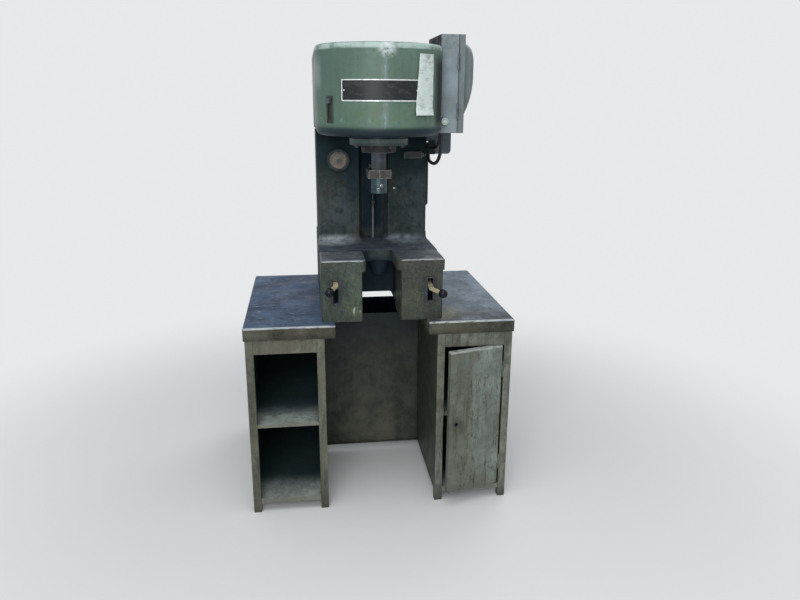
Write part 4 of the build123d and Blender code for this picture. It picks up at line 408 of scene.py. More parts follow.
def frame_enamel(props, wear):
    """Grimy dark green of base and column: soot and painted shade up under the head, painted shade in
    the channel and under the bed, grey patches low down and painted highlights at the foot.
    """
    f = Finish("frame grimy enamel")
    colour, worn, chips = enamel(f, props.frame, wear, 0.5, 0.28, 0.5, 1.7)
    face = f.band(Y, -0.2, 0.14, 0.01)
    grey = f.times(f.band(Z, BED_TOP + 0.004, BED_TOP + 0.199, 0.06), face,
                   f.patches((24.0, 24.0, 11.0), 0.40, 0.60, 6.0, 0.68))
    left = f.step(f.parts[X], -0.06, -0.02, 0.85, 0.42)
    colour = f.over(colour, (0.062, 0.076, 0.082), grey, left)
    smear = f.patches((22.0, 22.0, 14.0), 0.50, 0.60, 7.0, 0.7, move=(4, 1, 7))
    colour = f.over(colour, (0.046, 0.044, 0.030), smear,
                    f.band(Z, BED_TOP - 0.001, BED_TOP + 0.269, 0.05), face, 0.55)
    mottle = f.patches(60.0, 0.52, 0.64, 6.0, 0.78)
    colour = f.over(colour, (0.070, 0.080, 0.078), mottle, 0.42)
    dabs = f.patches(32.0, 0.53, 0.63, 6.0, 0.75, move=(6, 2, 9))
    colour = f.over(colour, (0.010, 0.018, 0.020), dabs, 0.6)
    runs = f.patches((48.0, 48.0, 6.0), 0.54, 0.66, 5.0, 0.7, move=(2, 5, 1), warp=0.8)
    colour = f.over(colour, (0.010, 0.016, 0.018), runs, 0.35)
    # darker up towards the head: soot, with painted shade under the head's overhang
    soot = f.times(f.band(Z, HEAD_LOW - 0.144, HEAD_LOW + 0.026, 0.07), f.band(Y, -0.2, 0.16, 0.01))
    colour = f.over(colour, (0.004, 0.018, 0.022), soot, 0.86)
    shade_side = f.times(f.band(X, -0.085, -0.02, 0.022),
                         f.band(Z, BED_TOP + 0.154, HEAD_LOW + 0.026, 0.04), face)
    colour = f.over(colour, (0.006, 0.021, 0.026), shade_side, 0.7)
    # painted shade on the column just under the head
    under = f.times(f.band(Z, HEAD_LOW - 0.034, HEAD_LOW + 0.026, 0.025), face)
    colour = f.over(colour, (0.001, 0.008, 0.012), under, 0.85)
    # painted shade in the channel behind the ram
    channel_shade = f.times(f.band(X, -0.021, 0.052, 0.004), f.band(Y, 0.075, 0.16, 0.012),
                     f.band(Z, BED_TOP + 0.029, HEAD_LOW + 0.026, 0.02))
    colour = f.over(colour, (0.003, 0.016, 0.027), channel_shade, 0.85)
    bed = f.times(f.facing(UP), f.band(Z, BED_TOP - 0.031, BED_TOP + 0.014, 0.004))
    oil = f.patches(24.0, 0.38, 0.62, 6.0, 0.7)
    plate = f.mix(oil, (0.030, 0.038, 0.048), (0.072, 0.088, 0.108))
    colour = f.over(colour, plate, bed, 0.85)
    # painted highlights on the bed at the column's foot, on both sides
    bare = f.patches((15.0, 12.0, 40.0), 0.24, 0.60, 6.0, 0.72)
    low = f.band(Z, BED_TOP - 0.031, BED_TOP + 0.011, 0.014)
    foot = f.times(f.near(LEFT_FOOT, 0.012, 0.118), low, bare)
    colour = f.over(colour, (0.42, 0.47, 0.48), foot)
    foot = f.times(f.near(RIGHT_FOOT, 0.010, 0.110), low,
                   f.patches(50.0, 0.30, 0.62, 5.0, 0.7))
    colour = f.over(colour, (0.25, 0.30, 0.32), foot)
    joint = f.times(f.band(Y, -0.165, -0.138, 0.005), f.patches(30.0, 0.25, 0.5, 4.0))
    colour = f.over(colour, (0.008, 0.012, 0.016), joint, 0.8)
    # painted shade under the bed, between the lever housings
    under_bed_shade = f.times(f.band(Z, TABLE_TOP - 0.011, BED_TOP - 0.031, 0.01),
                    f.band(X, -0.075, 0.095, 0.008))
    colour = f.over(colour, (0.008, 0.021, 0.034), under_bed_shade, 0.75)
    rough, bump = enamel_surface(f, worn, chips, 0.56, 0.78, 0.16)
    return f.finish(colour, rough, bump, 0.0, 0.0, 0.12)


def housing_enamel(name, props, wear, left):
    """Chipped olive enamel of a lever housing, with a bare, rubbed upper edge that also carries a
    painted highlight.
    """
    f = Finish(name)
    paint = shade(props.housing, 0.78)
    if not left:
        paint = blend(shade(props.housing, 0.6), (0.028, 0.028, 0.024), 0.5)
    colour, worn, chips = enamel(f, paint, wear, 0.8, 0.25, 0.5, 2.0 if left else 3.3)
    near_knees = f.near(on_bench(-62, 40, 745) if left else on_bench(92, 40, 750), 0.02, 0.11)
    lime = f.patches((48.0, 48.0, 17.0), 0.50, 0.60, 7.0, 0.7, move=(5, 2, 1), warp=1.2)
    limed = f.maths("ADD", f.times(lime, 0.35), f.times(near_knees, 0.35))
    colour = f.over(colour, (0.082, 0.112, 0.046) if left else (0.062, 0.076, 0.040), limed)
    soot = f.patches((40.0, 40.0, 15.0), 0.50, 0.60, 6.0, 0.7, move=(1, 9, 4), warp=1.0)
    colour = f.over(colour, (0.016, 0.026, 0.026), soot, 0.65)
    flecks = f.patches(150.0, 0.56, 0.64, 6.0, 0.8)
    colour = f.over(colour, (0.150, 0.160, 0.130), flecks, 0.6)
    pits = f.patches(85.0, 0.52, 0.62, 6.0, 0.75)
    colour = f.over(colour, (0.016, 0.018, 0.018), pits, 0.5 if left else 0.65)
    top = f.facing(UP)
    grimed = f.mix(f.patches(30.0, 0.38, 0.62, 6.0, 0.7),
                   (0.034, 0.044, 0.054) if left else (0.020, 0.032, 0.044),
                   (0.105, 0.125, 0.145) if left else (0.060, 0.080, 0.100))
    colour = f.over(colour, grimed, top, 0.9)
    rust = f.times(f.band(Z, HOUSING_TOP - 0.032, HOUSING_TOP + 0.001, 0.008),
                   f.patches(42.0, 0.48, 0.60, 6.0, 0.75))
    colour = f.over(colour, (0.060, 0.050, 0.042), rust, 0.7)
    # bright front edge of the top: worn paint and a painted highlight on the rounded edge
    lip = f.times(f.band(Z, HOUSING_TOP - 0.0035, HOUSING_TOP + 0.011, 0.0012),
                  f.band(Y, -0.32, -0.298, 0.003),
                  f.patches((30.0, 90.0, 200.0), 0.34, 0.56, 4.0))
    colour = f.over(colour, (0.34, 0.37, 0.38), lip, 0.9)
    if left:
        flake = f.times(f.near(on_bench(-86, 36, 748), 0.006, 0.020),
                        f.patches((130.0, 130.0, 45.0), 0.5, 0.6, 4.0, 0.7))
        colour = f.over(colour, (0.44, 0.51, 0.43), flake)
    low = f.times(f.band(Z, TABLE_TOP - 0.011, TABLE_TOP + 0.064, 0.02), f.patches(14.0, 0.3, 0.65))
    colour = f.over(colour, shade(wear.grime, 1.1), low, 0.6)
    rough, bump = enamel_surface(f, worn, chips, 0.42, 0.66, 0.20)
    return f.finish(colour, rough, bump, 0.0, 0.04, 0.28)


def table_finish(name, props, wear, left):
    """Scratched dark sheet of a bench top, oily in patches, its tint partly a painted blue
    reflection, bright along its front fold from wear and a painted highlight.
    """
    f = Finish(name)
    # the tops' blue tint, and the right top's paler, bluer sheet, are partly a painted reflection of
    # a blue wall
    sheet = props.table if left else blend(shade(props.table, 2.0), (0.22, 0.26, 0.27), 0.65)
    tone = f.patches(7.0, 0.40, 0.61, 6.0, 0.7)
    top = f.mix(tone, shade(sheet, 0.62), shade(sheet, 1.25))
    warm = f.patches(3.2, 0.45, 0.62)
    top = f.over(top, blend(shade(sheet, 0.75), (0.034, 0.046, 0.072), 0.55), warm, 0.5)
    top = f.over(top, shade(sheet, 1.7), f.patches(55.0, 0.54, 0.64, 6.0, 0.75), 0.5)
    top = f.over(top, shade(sheet, 0.4), f.patches(90.0, 0.56, 0.66, 5.0, 0.75), 0.5)
    for turn, seed in ((0.4, 1.0), (-0.7, 2.0), (1.3, 3.0), (2.2, 4.0)):
        line = f.scratches(turn, (7.0, 60.0, 20.0), 0.010, seed)
        top = f.over(top, (0.26, 0.30, 0.35), line, 0.65)
    if left:
        inner = f.step(f.parts[X], -0.29, -0.23)
        top = f.over(top, (0.038, 0.070, 0.118), inner, 0.35)
    else:
        dark = f.times(f.step(f.parts[Y], -0.30, -0.14, 1.0, 0.0),
                       f.patches(9.0, 0.26, 0.52, 5.0, 0.7))
        top = f.over(top, (0.038, 0.042, 0.048), dark, 0.92)
        stain = f.times(f.near(OIL_STAIN, 0.04, 0.13),
                        f.step(f.noise(1.0, 5.0, 0.7, f.stretched((30, 14, 30), (0, 0, 0.5))),
                               0.38, 0.58))
        top = f.over(top, (0.24, 0.22, 0.14), stain, 0.8)
        spot = f.near(RUST_SPOT, 0.010, 0.024)
        top = f.over(top, (0.20, 0.105, 0.045), spot, 0.9)
    side = enamel(f, props.apron, wear, 0.5, 0.25, 0.5, 4.4)[0]
    runs = f.patches((15.0, 15.0, 9.0), 0.50, 0.62, 7.0, 0.75, move=(1, 8, 3))
    side = f.over(side, (0.018, 0.018, 0.015), runs, 0.55)
    hem = f.times(f.band(Z, TABLE_TOP - 0.111, TABLE_TOP - 0.035, 0.014),
                  f.patches(22.0, 0.30, 0.62, 6.0, 0.75))
    side = f.over(side, (0.016, 0.016, 0.013), hem, 0.7)
    flat = f.facing(UP)
    colour = f.over(side, top, flat)
    # bright front fold: worn edge and a painted highlight
    fold = f.times(f.band(Z, TABLE_TOP - 0.0045, TABLE_TOP + 0.009, 0.0012),
                   f.band(Y, -0.40, 0.0048 - BENCH_Y, 0.0016),
                   f.patches((26.0, 90.0, 90.0), 0.30, 0.52, 4.0, 0.7))
    colour = f.over(colour, (0.42, 0.45, 0.46), fold, 0.92)
    rough = f.patches(11.0, 0.35, 0.68, 6.0, 0.7, low=0.42, high=0.66)
    bump = f.bump(f.noise(9.0, 3.0, 0.5), 0.08, 0.004)
    bump = f.bump(f.noise(260.0, 3.0, 0.6), 0.10, 0.0006, bump)
    return f.finish(colour, rough, bump, 0.0, 0.0, 0.13)


def cabinet_finish(name, props, wear, paint, seed, streak=0.32, warm=0.5, knee_side_shade=0.0,
                   inside=()):
    """Grimy grey-green enamel of the bench, with handled edges and runs of dirt, and where asked
    painted shade on the faces towards the knee space.
    """
    f = Finish(name)
    colour, worn, chips = enamel(f, paint, wear, 0.8, streak, 0.5, seed)
    brown = f.patches((17.0, 17.0, 7.0), 0.50, 0.62, 6.0, 0.66, move=(seed, 4, 2))
    colour = f.over(colour, (0.085, 0.075, 0.048), brown, warm)
    handled = f.times(f.patches((40.0, 40.0, 20.0), 0.48, 0.62, 6.0, 0.75),
                      f.patches(3.0, 0.45, 0.58, 3.0))
    colour = f.over(colour, shade(paint, 2.0), handled, 0.5)
    low = f.times(f.band(Z, -0.01, 0.06, 0.05), f.patches(12.0, 0.3, 0.62))
    colour = f.over(colour, wear.grime, low, 0.45)
    drips = f.patches((34.0, 34.0, 5.5), 0.55, 0.63, 7.0, 0.74, move=(seed, 2, 6), warp=0.9)
    colour = f.over(colour, (0.026, 0.026, 0.020), drips, 0.55)
    # painted shade on the faces that look into the knee space
    if knee_side_shade:
        towards_knees = f.facing((-1, 0, 0))
        colour = f.over(colour, (0.022, 0.026, 0.020), towards_knees, knee_side_shade)
    for way, low, high in inside:
        hidden = f.times(f.facing(way), f.band(X, low, high, 0.002),
                         f.step(f.parts[Y], 0.0053 - BENCH_Y, 0.0433 - BENCH_Y))
        colour = f.over(colour, (0.042, 0.092, 0.108), hidden, 0.90)
    rough, bump = enamel_surface(f, worn, chips, 0.44, 0.66, 0.10)
    return f.finish(colour, rough, bump, 0.0, 0.0, 0.28)


def shelf_finish(props, wear):
    """Shelves: pale and dusty at the front, with painted shade further back inside the cabinet."""
    f = Finish("shelf enamel")
    paint = blend(shade(props.cabinet, 2.6), (0.26, 0.32, 0.33), 0.6)
    colour, worn, chips = enamel(f, paint, wear, 0.8, 0.3, 0.4, 5.6)
    lip = f.facing(FRONT)
    colour = f.over(colour, (0.125, 0.128, 0.098), lip, 0.8)
    # painted shade further back inside the cabinet
    back = f.step(f.parts[Y], -0.29, -0.17)
    colour = f.over(colour, (0.014, 0.034, 0.042), back, 0.94)
    rough, bump = enamel_surface(f, worn, chips, 0.50, 0.70, 0.10)
    return f.finish(colour, rough, bump, 0.0, 0.0, 0.2)


def door_finish(props, wear):
    """The door: paler than its cabinet, with dark drips and rub marks, painted shade on its left and
    round its lock hole, and darker towards the bottom.
    """
    f = Finish("door streaked enamel")
    colour, worn, chips = enamel(f, props.door, wear, 0.8, 0.4, 0.35, 6.2)
    shadow = f.step(f.parts[X], 0.235, 0.37, 1.0, 0.0)
    colour = f.over(colour, (0.078, 0.080, 0.057), shadow, 0.6)
    # darker towards the bottom
    darker_low = f.times(f.step(f.parts[Z], 0.10, 0.46, 1.0, 0.0), f.patches(7.0, 0.3, 0.6))
    colour = f.over(colour, (0.090, 0.092, 0.066), darker_low, 0.55)
    drips = f.patches((34.0, 34.0, 4.5), 0.56, 0.62, 7.0, 0.7, move=(2, 7, 3), warp=1.1)
    colour = f.over(colour, (0.030, 0.028, 0.022), drips,
                    f.patches(6.0, 0.42, 0.56, 3.0), 0.85)
    marks = f.scratches(0.0, (50.0, 50.0, 9.0), 0.010, 5.0)
    colour = f.over(colour, (0.045, 0.042, 0.036), marks, 0.6)
    blooms = f.patches((14.0, 14.0, 5.0), 0.50, 0.64, 6.0, 0.7, move=(7, 2, 5))
    colour = f.over(colour, (0.078, 0.072, 0.048), blooms, 0.5)
    stained = f.times(f.near((0.300, -0.385, 0.36), 0.02, 0.17),
                      f.patches((56.0, 56.0, 7.5), 0.46, 0.58, 7.0, 0.78))
    colour = f.over(colour, (0.052, 0.050, 0.030), stained, 0.75)
    speckle = f.patches(95.0, 0.52, 0.66, 6.0, 0.8)
    colour = f.over(colour, (0.060, 0.066, 0.058), speckle, 0.4)
    for step in range(4):
        point = (0.3945 + 0.006 * step, -0.352 + 0.0022 * step, 0.381 + 0.0052 * step)
        colour = f.over(colour, (0.020, 0.022, 0.020), f.near(point, 0.0015, 0.0055), 0.75)
    cracks = f.scratches(0.0, (42.0, 42.0, 11.0), 0.011, 8.0)
    colour = f.over(colour, (0.026, 0.025, 0.020), cracks, 0.8)
    # painted shade widening the lock hole, with thumb dirt round it
    hole_shade_and_thumb_dirt = f.maths("MAXIMUM", f.near(DOOR_HOLE, 0.0105, 0.0125),
                      f.times(f.near(DOOR_HOLE, 0.004, 0.034), f.patches(60.0, 0.36, 0.6)))
    colour = f.over(colour, (0.024, 0.024, 0.020), hole_shade_and_thumb_dirt, 0.75)
    rim = f.times(f.band(Z, 0.606, 0.63, 0.002), f.patches(40.0, 0.35, 0.6))
    colour = f.over(colour, (0.38, 0.42, 0.40), rim, 0.7)
    rough, bump = enamel_surface(f, worn, chips, 0.40, 0.62, 0.09)
    return f.finish(colour, rough, bump, 0.0, 0.04, 0.30)


def panel_finish(props, wear):
    """The knee panel: mottled, paler low in the middle, with painted shade under the bench top."""
    f = Finish("knee panel enamel")
    colour, worn, chips = enamel(f, props.panel, wear, 0.5, 0.4, 0.5, 7.9)
    # paler low in the middle
    rubbed = f.times(f.near((0.015, 0.10, 0.12), 0.06, 0.25),
                     f.patches(12.0, 0.30, 0.62, 6.0, 0.65))
    colour = f.over(colour, (0.100, 0.100, 0.074), rubbed, 0.75)
    blots = f.patches(11.0, 0.50, 0.60, 7.0, 0.75, move=(3, 8, 5))
    colour = f.over(colour, (0.020, 0.023, 0.020), blots, 0.35)
    # painted shade under the bench top, darkening up towards the panel's top
    soot = f.step(f.parts[Z], 0.34, 0.62)
    colour = f.over(colour, (0.008, 0.017, 0.020), soot, 0.82)
    rough, bump = enamel_surface(f, worn, chips, 0.44, 0.64, 0.09)
    return f.finish(colour, rough, bump, 0.0, 0.0, 0.28)


def box_finish(name, paint, wear, seed):
    """Grey enamel of the switch box: a dirty seam, rust at its edges, painted shade with spots on the
    side towards the head, and painted shade with a painted blue reflection on its top.
    """
    f = Finish(name)
    colour, worn, chips = enamel(f, paint, wear, 0.35, 0.12, 0.12, seed)
    rust = f.times(f.edges(0.006), f.patches(24.0, 0.54, 0.64, 5.0, 0.7))
    colour = f.over(colour, (0.050, 0.040, 0.034), rust, 0.8)
    dull = f.patches(9.0, 0.44, 0.62, 5.0, 0.65)
    colour = f.over(colour, blend(paint, (0.13, 0.14, 0.13), 0.6), dull, 0.4)
    high = f.times(f.step(f.parts[Z], 1.60, 1.67), f.patches(40.0, 0.44, 0.60, 5.0, 0.75))
    colour = f.over(colour, (0.085, 0.090, 0.090), high, 0.55)
    seam = f.band(X, 0.2885, 0.2915, 0.0006)
    colour = f.over(colour, (0.012, 0.014, 0.015), seam, 0.95)
    # painted shade, with spots, on the side that faces the head
    head_side_shade = f.times(f.facing((-1, 0, 0)), f.band(X, 0.20, 0.24, 0.004))
    spots = f.mix(f.patches(46.0, 0.46, 0.62, 6.0, 0.8), (0.010, 0.010, 0.011),
                  (0.120, 0.120, 0.150))
    colour = f.over(colour, spots, head_side_shade, 0.97)
    # the top: painted shade and a painted blue reflection, darker and bluer than the front
    top = f.facing(UP)
    colour = f.over(colour, (0.075, 0.115, 0.180), top, 0.6)
    rough, bump = enamel_surface(f, worn, chips, 0.42, 0.58, 0.05)
    rough = f.maths("ADD", rough, f.times(head_side_shade, 0.55))
    return f.finish(colour, rough, bump, 0.0, 0.0, 0.28)


def plain_enamel(name, paint, wear, seed, amount=0.5):
    """Enamel of the parts behind: motor, pump and bracket."""
    f = Finish(name)
    colour, worn, chips = enamel(f, paint, wear, amount, 0.35, 0.3, seed)
    rough, bump = enamel_surface(f, worn, chips, 0.40, 0.60, 0.10)
    return f.finish(colour, rough, bump, 0.0, 0.04, 0.30)


def flange_finish(props, wear):
    """Sage enamel of the cylinder's flange, darker towards its lower edge."""
    f = Finish("flange sage enamel")
    colour, worn, chips = enamel(f, props.flange, wear, 0.6, 0.3, 0.3, 5.0)
    # darker towards its lower edge
    low = f.step(f.parts[Z], 1.309, 1.330, 1.0, 0.0)
    colour = f.over(colour, (0.010, 0.019, 0.025), low, 0.8)
    rough, bump = enamel_surface(f, worn, chips, 0.36, 0.56, 0.08)
    return f.finish(colour, rough, bump, 0.0, 0.04, 0.3)


def rusted_steel(name, tone, rust, share=0.5, shine=0.5, rubbed=0.0016):
    """Turned steel under brown-grey rust, rubbed bright at its edges; on the valve block the wide
    bright edges are also painted highlights.
    """
    f = Finish(name)
    cloudy = f.patches(26.0, 0.40, 0.61, 6.0, 0.75)
    colour = f.mix(cloudy, shade(tone, 0.7), shade(tone, 1.25))
    brown = f.patches(38.0, 0.46, 0.62, 6.0, 0.75, move=(3, 1, 2))
    colour = f.over(colour, rust, brown, share)
    grey = f.patches((20.0, 20.0, 150.0), 0.52, 0.66, 5.0, 0.7)
    colour = f.over(colour, shade(tone, 1.8), grey, 0.5)
    bright = f.times(f.edges(rubbed), f.patches(60.0, 0.34, 0.56, 3.0))
    colour = f.over(colour, (0.46, 0.46, 0.43), bright, 0.9)
    metal = f.patches(34.0, 0.40, 0.66, 5.0, 0.7, low=shine * 0.4, high=shine)
    rough = f.patches(40.0, 0.35, 0.66, 5.0, 0.7, low=0.38, high=0.64)
    bump = f.bump(f.noise(1.0, 3.0, 0.5, f.stretched((12.0, 12.0, 900.0))), 0.12, 0.0006)
    bump = f.bump(f.noise(150.0, 5.0, 0.7), 0.18, 0.0006, bump)
    return f.finish(colour, rough, bump, metal, 0.0, 0.3)


def worked_steel(name, tone, rust, rough_low, rough_high, rings=700.0, dirt=0.4, shine=0.92,
                 shaded_above=None):
    """Machined steel with fine tool lines, oil film and specks of rust, and painted shade above a
    height where one is given.
    """
    f = Finish(name)
    lines = f.noise(1.0, 3.0, 0.5, f.stretched((14.0, 14.0, rings)))
    colour = f.mix(f.step(lines, 0.35, 0.65), shade(tone, 0.82), shade(tone, 1.12))
    film = f.patches(22.0, 0.44, 0.62, 6.0, 0.7)
    colour = f.over(colour, shade(tone, 0.35), film, dirt)
    specks = f.patches(75.0, 0.60, 0.70, 5.0, 0.75)
    colour = f.over(colour, rust, specks, 0.5)
    bright = f.times(f.edges(0.0012), f.patches(90.0, 0.36, 0.58))
    colour = f.over(colour, shade(tone, 1.9), bright, 0.6)
    # painted shade up from the given height, where the stroke rod runs up into shade
    if shaded_above is not None:
        soot = f.step(f.parts[Z], shaded_above - 0.03, shaded_above + 0.03)
        colour = f.over(colour, (0.008, 0.012, 0.014), soot, 0.93)
    rough = f.step(film, 0.0, 1.0, rough_low, rough_high)
    bump = f.bump(lines, 0.10, 0.0003)
    bump = f.bump(f.noise(190.0, 3.0, 0.6), 0.08, 0.0004, bump)
    metal = f.step(specks, 0.0, 1.0, shine, shine * 0.4)
    return f.finish(colour, rough, bump, metal, 0.0, 0.35)


def lever_metal(props):
    """Tarnished yellow metal of the levers, handled bright on its flats."""
    f = Finish("lever tarnished brass")
    tarnish = f.patches(32.0, 0.40, 0.64, 6.0, 0.7)
    colour = f.mix(tarnish, shade(props.lever, 1.15), shade(props.lever, 0.6))
    spots = f.patches(110.0, 0.56, 0.66, 4.0, 0.7)
    colour = f.over(colour, (0.12, 0.10, 0.07), spots, 0.5)
    bright = f.times(f.edges(0.0015), f.patches(80.0, 0.36, 0.6))
    colour = f.over(colour, (0.66, 0.58, 0.42), bright, 0.7)
    rough = f.step(tarnish, 0.0, 1.0, 0.38, 0.58)
    bump = f.bump(f.noise(160.0, 4.0, 0.6), 0.12, 0.0005)
    return f.finish(colour, rough, bump, 0.3, 0.0, 0.35)


def dark_gloss(name, tone, low, high, coat=0.4, scale=120.0, level=0.35):
    """Moulded black with a handled sheen and fine scuffs."""
    f = Finish(name)
    scuffs = f.patches(scale, 0.50, 0.70, 5.0, 0.7)
    colour = f.mix(f.times(scuffs, 0.3), tone, blend(tone, (0.06, 0.065, 0.07), 0.35))
    rough = f.patches(30.0, 0.35, 0.68, 5.0, 0.7, low=low, high=high)
    bump = f.bump(f.noise(scale * 2.0, 3.0, 0.6), 0.06, 0.0004)
    return f.finish(colour, rough, bump, 0.0, coat, level)


def paper_finish(props):
    """Blank paper label, a little creased and soiled."""
    f = Finish("blank paper label")
    soil = f.patches(34.0, 0.46, 0.66, 6.0, 0.7)
    colour = f.mix(f.times(soil, 0.5), props.paper, shade(props.paper, 0.66))
    fine = f.patches(110.0, 0.50, 0.64, 5.0, 0.75)
    colour = f.over(colour, shade(props.paper, 0.6), fine, 0.35)
    stained = f.times(f.near((0.150, -0.305, 1.588), 0.008, 0.034), f.patches(75.0, 0.4, 0.58))
    colour = f.over(colour, (0.20, 0.21, 0.20), stained, 0.8)
    folds = f.patches((26.0, 26.0, 95.0), 0.50, 0.64, 6.0, 0.7, move=(2, 3, 8))
    colour = f.over(colour, (0.28, 0.32, 0.31), folds, 0.5)
    bump = f.bump(f.noise(16.0, 4.0, 0.6), 0.35, 0.003)
    return f.finish(colour, f.step(soil, 0.0, 1.0, 0.62, 0.8), bump, 0.0, 0.0, 0.3)


def plate_field():
    """Black baked enamel in the nameplate's sunk field."""
    f = Finish("nameplate black field")
    rubs = f.patches((34.0, 34.0, 60.0), 0.50, 0.66, 5.0, 0.7)
    colour = f.mix(f.times(rubs, 0.4), (0.014, 0.017, 0.019), (0.060, 0.068, 0.070))
    bump = f.bump(f.noise(240.0, 3.0, 0.6), 0.06, 0.0003)
    return f.finish(colour, f.step(rubs, 0.0, 1.0, 0.38, 0.56), bump, 0.0, 0.0, 0.25)


def plate_rim():
    """Bare light rim of the nameplate."""
    f = Finish("nameplate bare rim")
    dull = f.patches(90.0, 0.46, 0.70, 5.0, 0.7)
    colour = f.mix(dull, (0.70, 0.73, 0.72), (0.40, 0.43, 0.42))
    bump = f.bump(f.noise(300.0, 3.0, 0.6), 0.08, 0.0003)
    return f.finish(colour, f.step(dull, 0.0, 1.0, 0.34, 0.5), bump, 0.25, 0.0, 0.4)


def button_finish():
    """Pale worn plastic of the motor button, with a dirty groove round its middle."""
    f = Finish("button pale plastic")
    dirt = f.patches(190.0, 0.46, 0.64, 5.0, 0.7)
    colour = f.mix(f.times(dirt, 0.5), (0.50, 0.58, 0.55), (0.28, 0.33, 0.31))
    middle = front_middle("motor_button")
    groove = f.times(f.near(middle, 0.0092, 0.0100),
                     f.step(f.near(middle, 0.0072, 0.0080), 0.0, 1.0, 1.0, 0.0))
    colour = f.over(colour, (0.085, 0.105, 0.100), groove, 0.75)
    bump = f.bump(f.noise(300.0, 3.0, 0.6), 0.06, 0.0003)
    return f.finish(colour, f.step(dirt, 0.0, 1.0, 0.42, 0.6), bump, 0.0, 0.0, 0.3)


def dial_finish(props):
    """Yellowed, dusty gauge dial, with painted shade round its rim under the case."""
    f = Finish("gauge yellowed dial")
    dust = f.patches(60.0, 0.40, 0.62, 6.0, 0.75)
    colour = f.mix(dust, shade(props.dial, 0.92), shade(props.dial, 0.42))
    middle = front_middle("gauge_dial")
    smudge = f.times(f.near(middle + Vector((0.007, 0, -0.003)), 0.003, 0.013),
                     f.patches(90.0, 0.3, 0.6))
    colour = f.over(colour, (0.030, 0.024, 0.018), smudge, 0.8)
    # painted shade round the dial's rim, under the case
    clear = f.near(middle, 0.0302, 0.0322)
    colour = f.mix(clear, (0.010, 0.018, 0.019), colour)
    bump = f.bump(f.noise(240.0, 2.0, 0.5), 0.05, 0.0003)
    return f.finish(colour, f.step(dust, 0.0, 1.0, 0.45, 0.7), bump, 0.0, 0.0, 0.25)


def glass_finish():
    """Thin clear gauge glass with a dusty film."""
    f = Finish("gauge dusty glass")
    dust = f.patches(70.0, 0.44, 0.70, 6.0, 0.75)
    colour = f.mix(dust, (0.72, 0.75, 0.76), (0.30, 0.26, 0.22))
    material = f.finish(colour, f.step(dust, 0.0, 1.0, 0.10, 0.35), None, 0.0, 0.0, 0.25)
    f.feed(f.shader.inputs["Alpha"], f.step(dust, 0.0, 1.0, 0.02, 0.09))
    return material


# Mesh helpers


def piece(name, shape, materials, body, smooth=35.0):
    """Turns a bmesh into an object at the origin that rides on a body."""
    bmesh.ops.recalc_face_normals(shape, faces=shape.faces)
    mesh = bpy.data.meshes.new(name)
    for face in shape.faces:
        face.smooth = True
    for edge in shape.edges:
        edge.smooth = edge.calc_face_angle(0.0) < radians(smooth)
    shape.to_mesh(mesh)
    shape.free()
    for material in materials:
        mesh.materials.append(material)
    made = bpy.data.objects.new(name, mesh)
    bpy.context.scene.collection.objects.link(made)
    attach(made, body)
    return made


def facing_turn(direction, roll=0.0):
    """Turns +Z to a direction, after a roll about +Z."""
    way = Vector(direction).normalized()
    return way.to_track_quat("Z", "Y").to_matrix().to_4x4() @ Matrix.Rotation(roll, 4, "Z")


def join(shape, part, point, direction, roll=0.0):
    """Adds a part modelled at the origin to a shape, stood on a surface point."""
    keep = bpy.data.meshes.new("part")
    part.to_mesh(keep)
    part.free()
    before = set(shape.verts)
    shape.from_mesh(keep)
    bpy.data.meshes.remove(keep)
    stand(shape, [v for v in shape.verts if v not in before], point, direction, roll)


def stand(shape, verts, point, direction, roll=0.0):
    """Moves new vertices from the origin onto a surface point, with +Z outwards."""
    matrix = Matrix.Translation(Vector(point)) @ facing_turn(direction, roll)
    bmesh.ops.transform(shape, matrix=matrix, verts=verts)


def add_button(shape, radius, height, point, direction, roll=0.0, slot=0.0):
    """A round screw head with a rounded rim and, where asked, a cut slot."""
    part = bmesh.new()
    bmesh.ops.create_cone(part, cap_ends=True, segments=24, radius1=radius, radius2=radius,
                          depth=height)
    bmesh.ops.translate(part, verts=part.verts, vec=(0, 0, height / 2))
    rim = [e for e in part.edges if all(v.co.z > height * 0.5 for v in e.verts)]
    bmesh.ops.bevel(part, geom=rim, offset=min(height * 0.7, radius * 0.6), segments=3,
                    profile=0.5, affect="EDGES", material=-1)
    if slot:
        for side in (-1, 1):
            bmesh.ops.bisect_plane(part, geom=part.verts[:] + part.edges[:] + part.faces[:],
                                   plane_co=(side * slot / 2, 0, 0), plane_no=(1, 0, 0))
        cut = [f for f in part.faces
               if f.normal.z > 0.2 and abs(f.calc_center_median().x) < slot / 2]
        made = bmesh.ops.extrude_face_region(part, geom=cut)
        low = [v for v in made["geom"] if isinstance(v, bmesh.types.BMVert)]
        bmesh.ops.translate(part, verts=low, vec=(0, 0, -height * 0.45))
    join(shape, part, point, direction, roll)


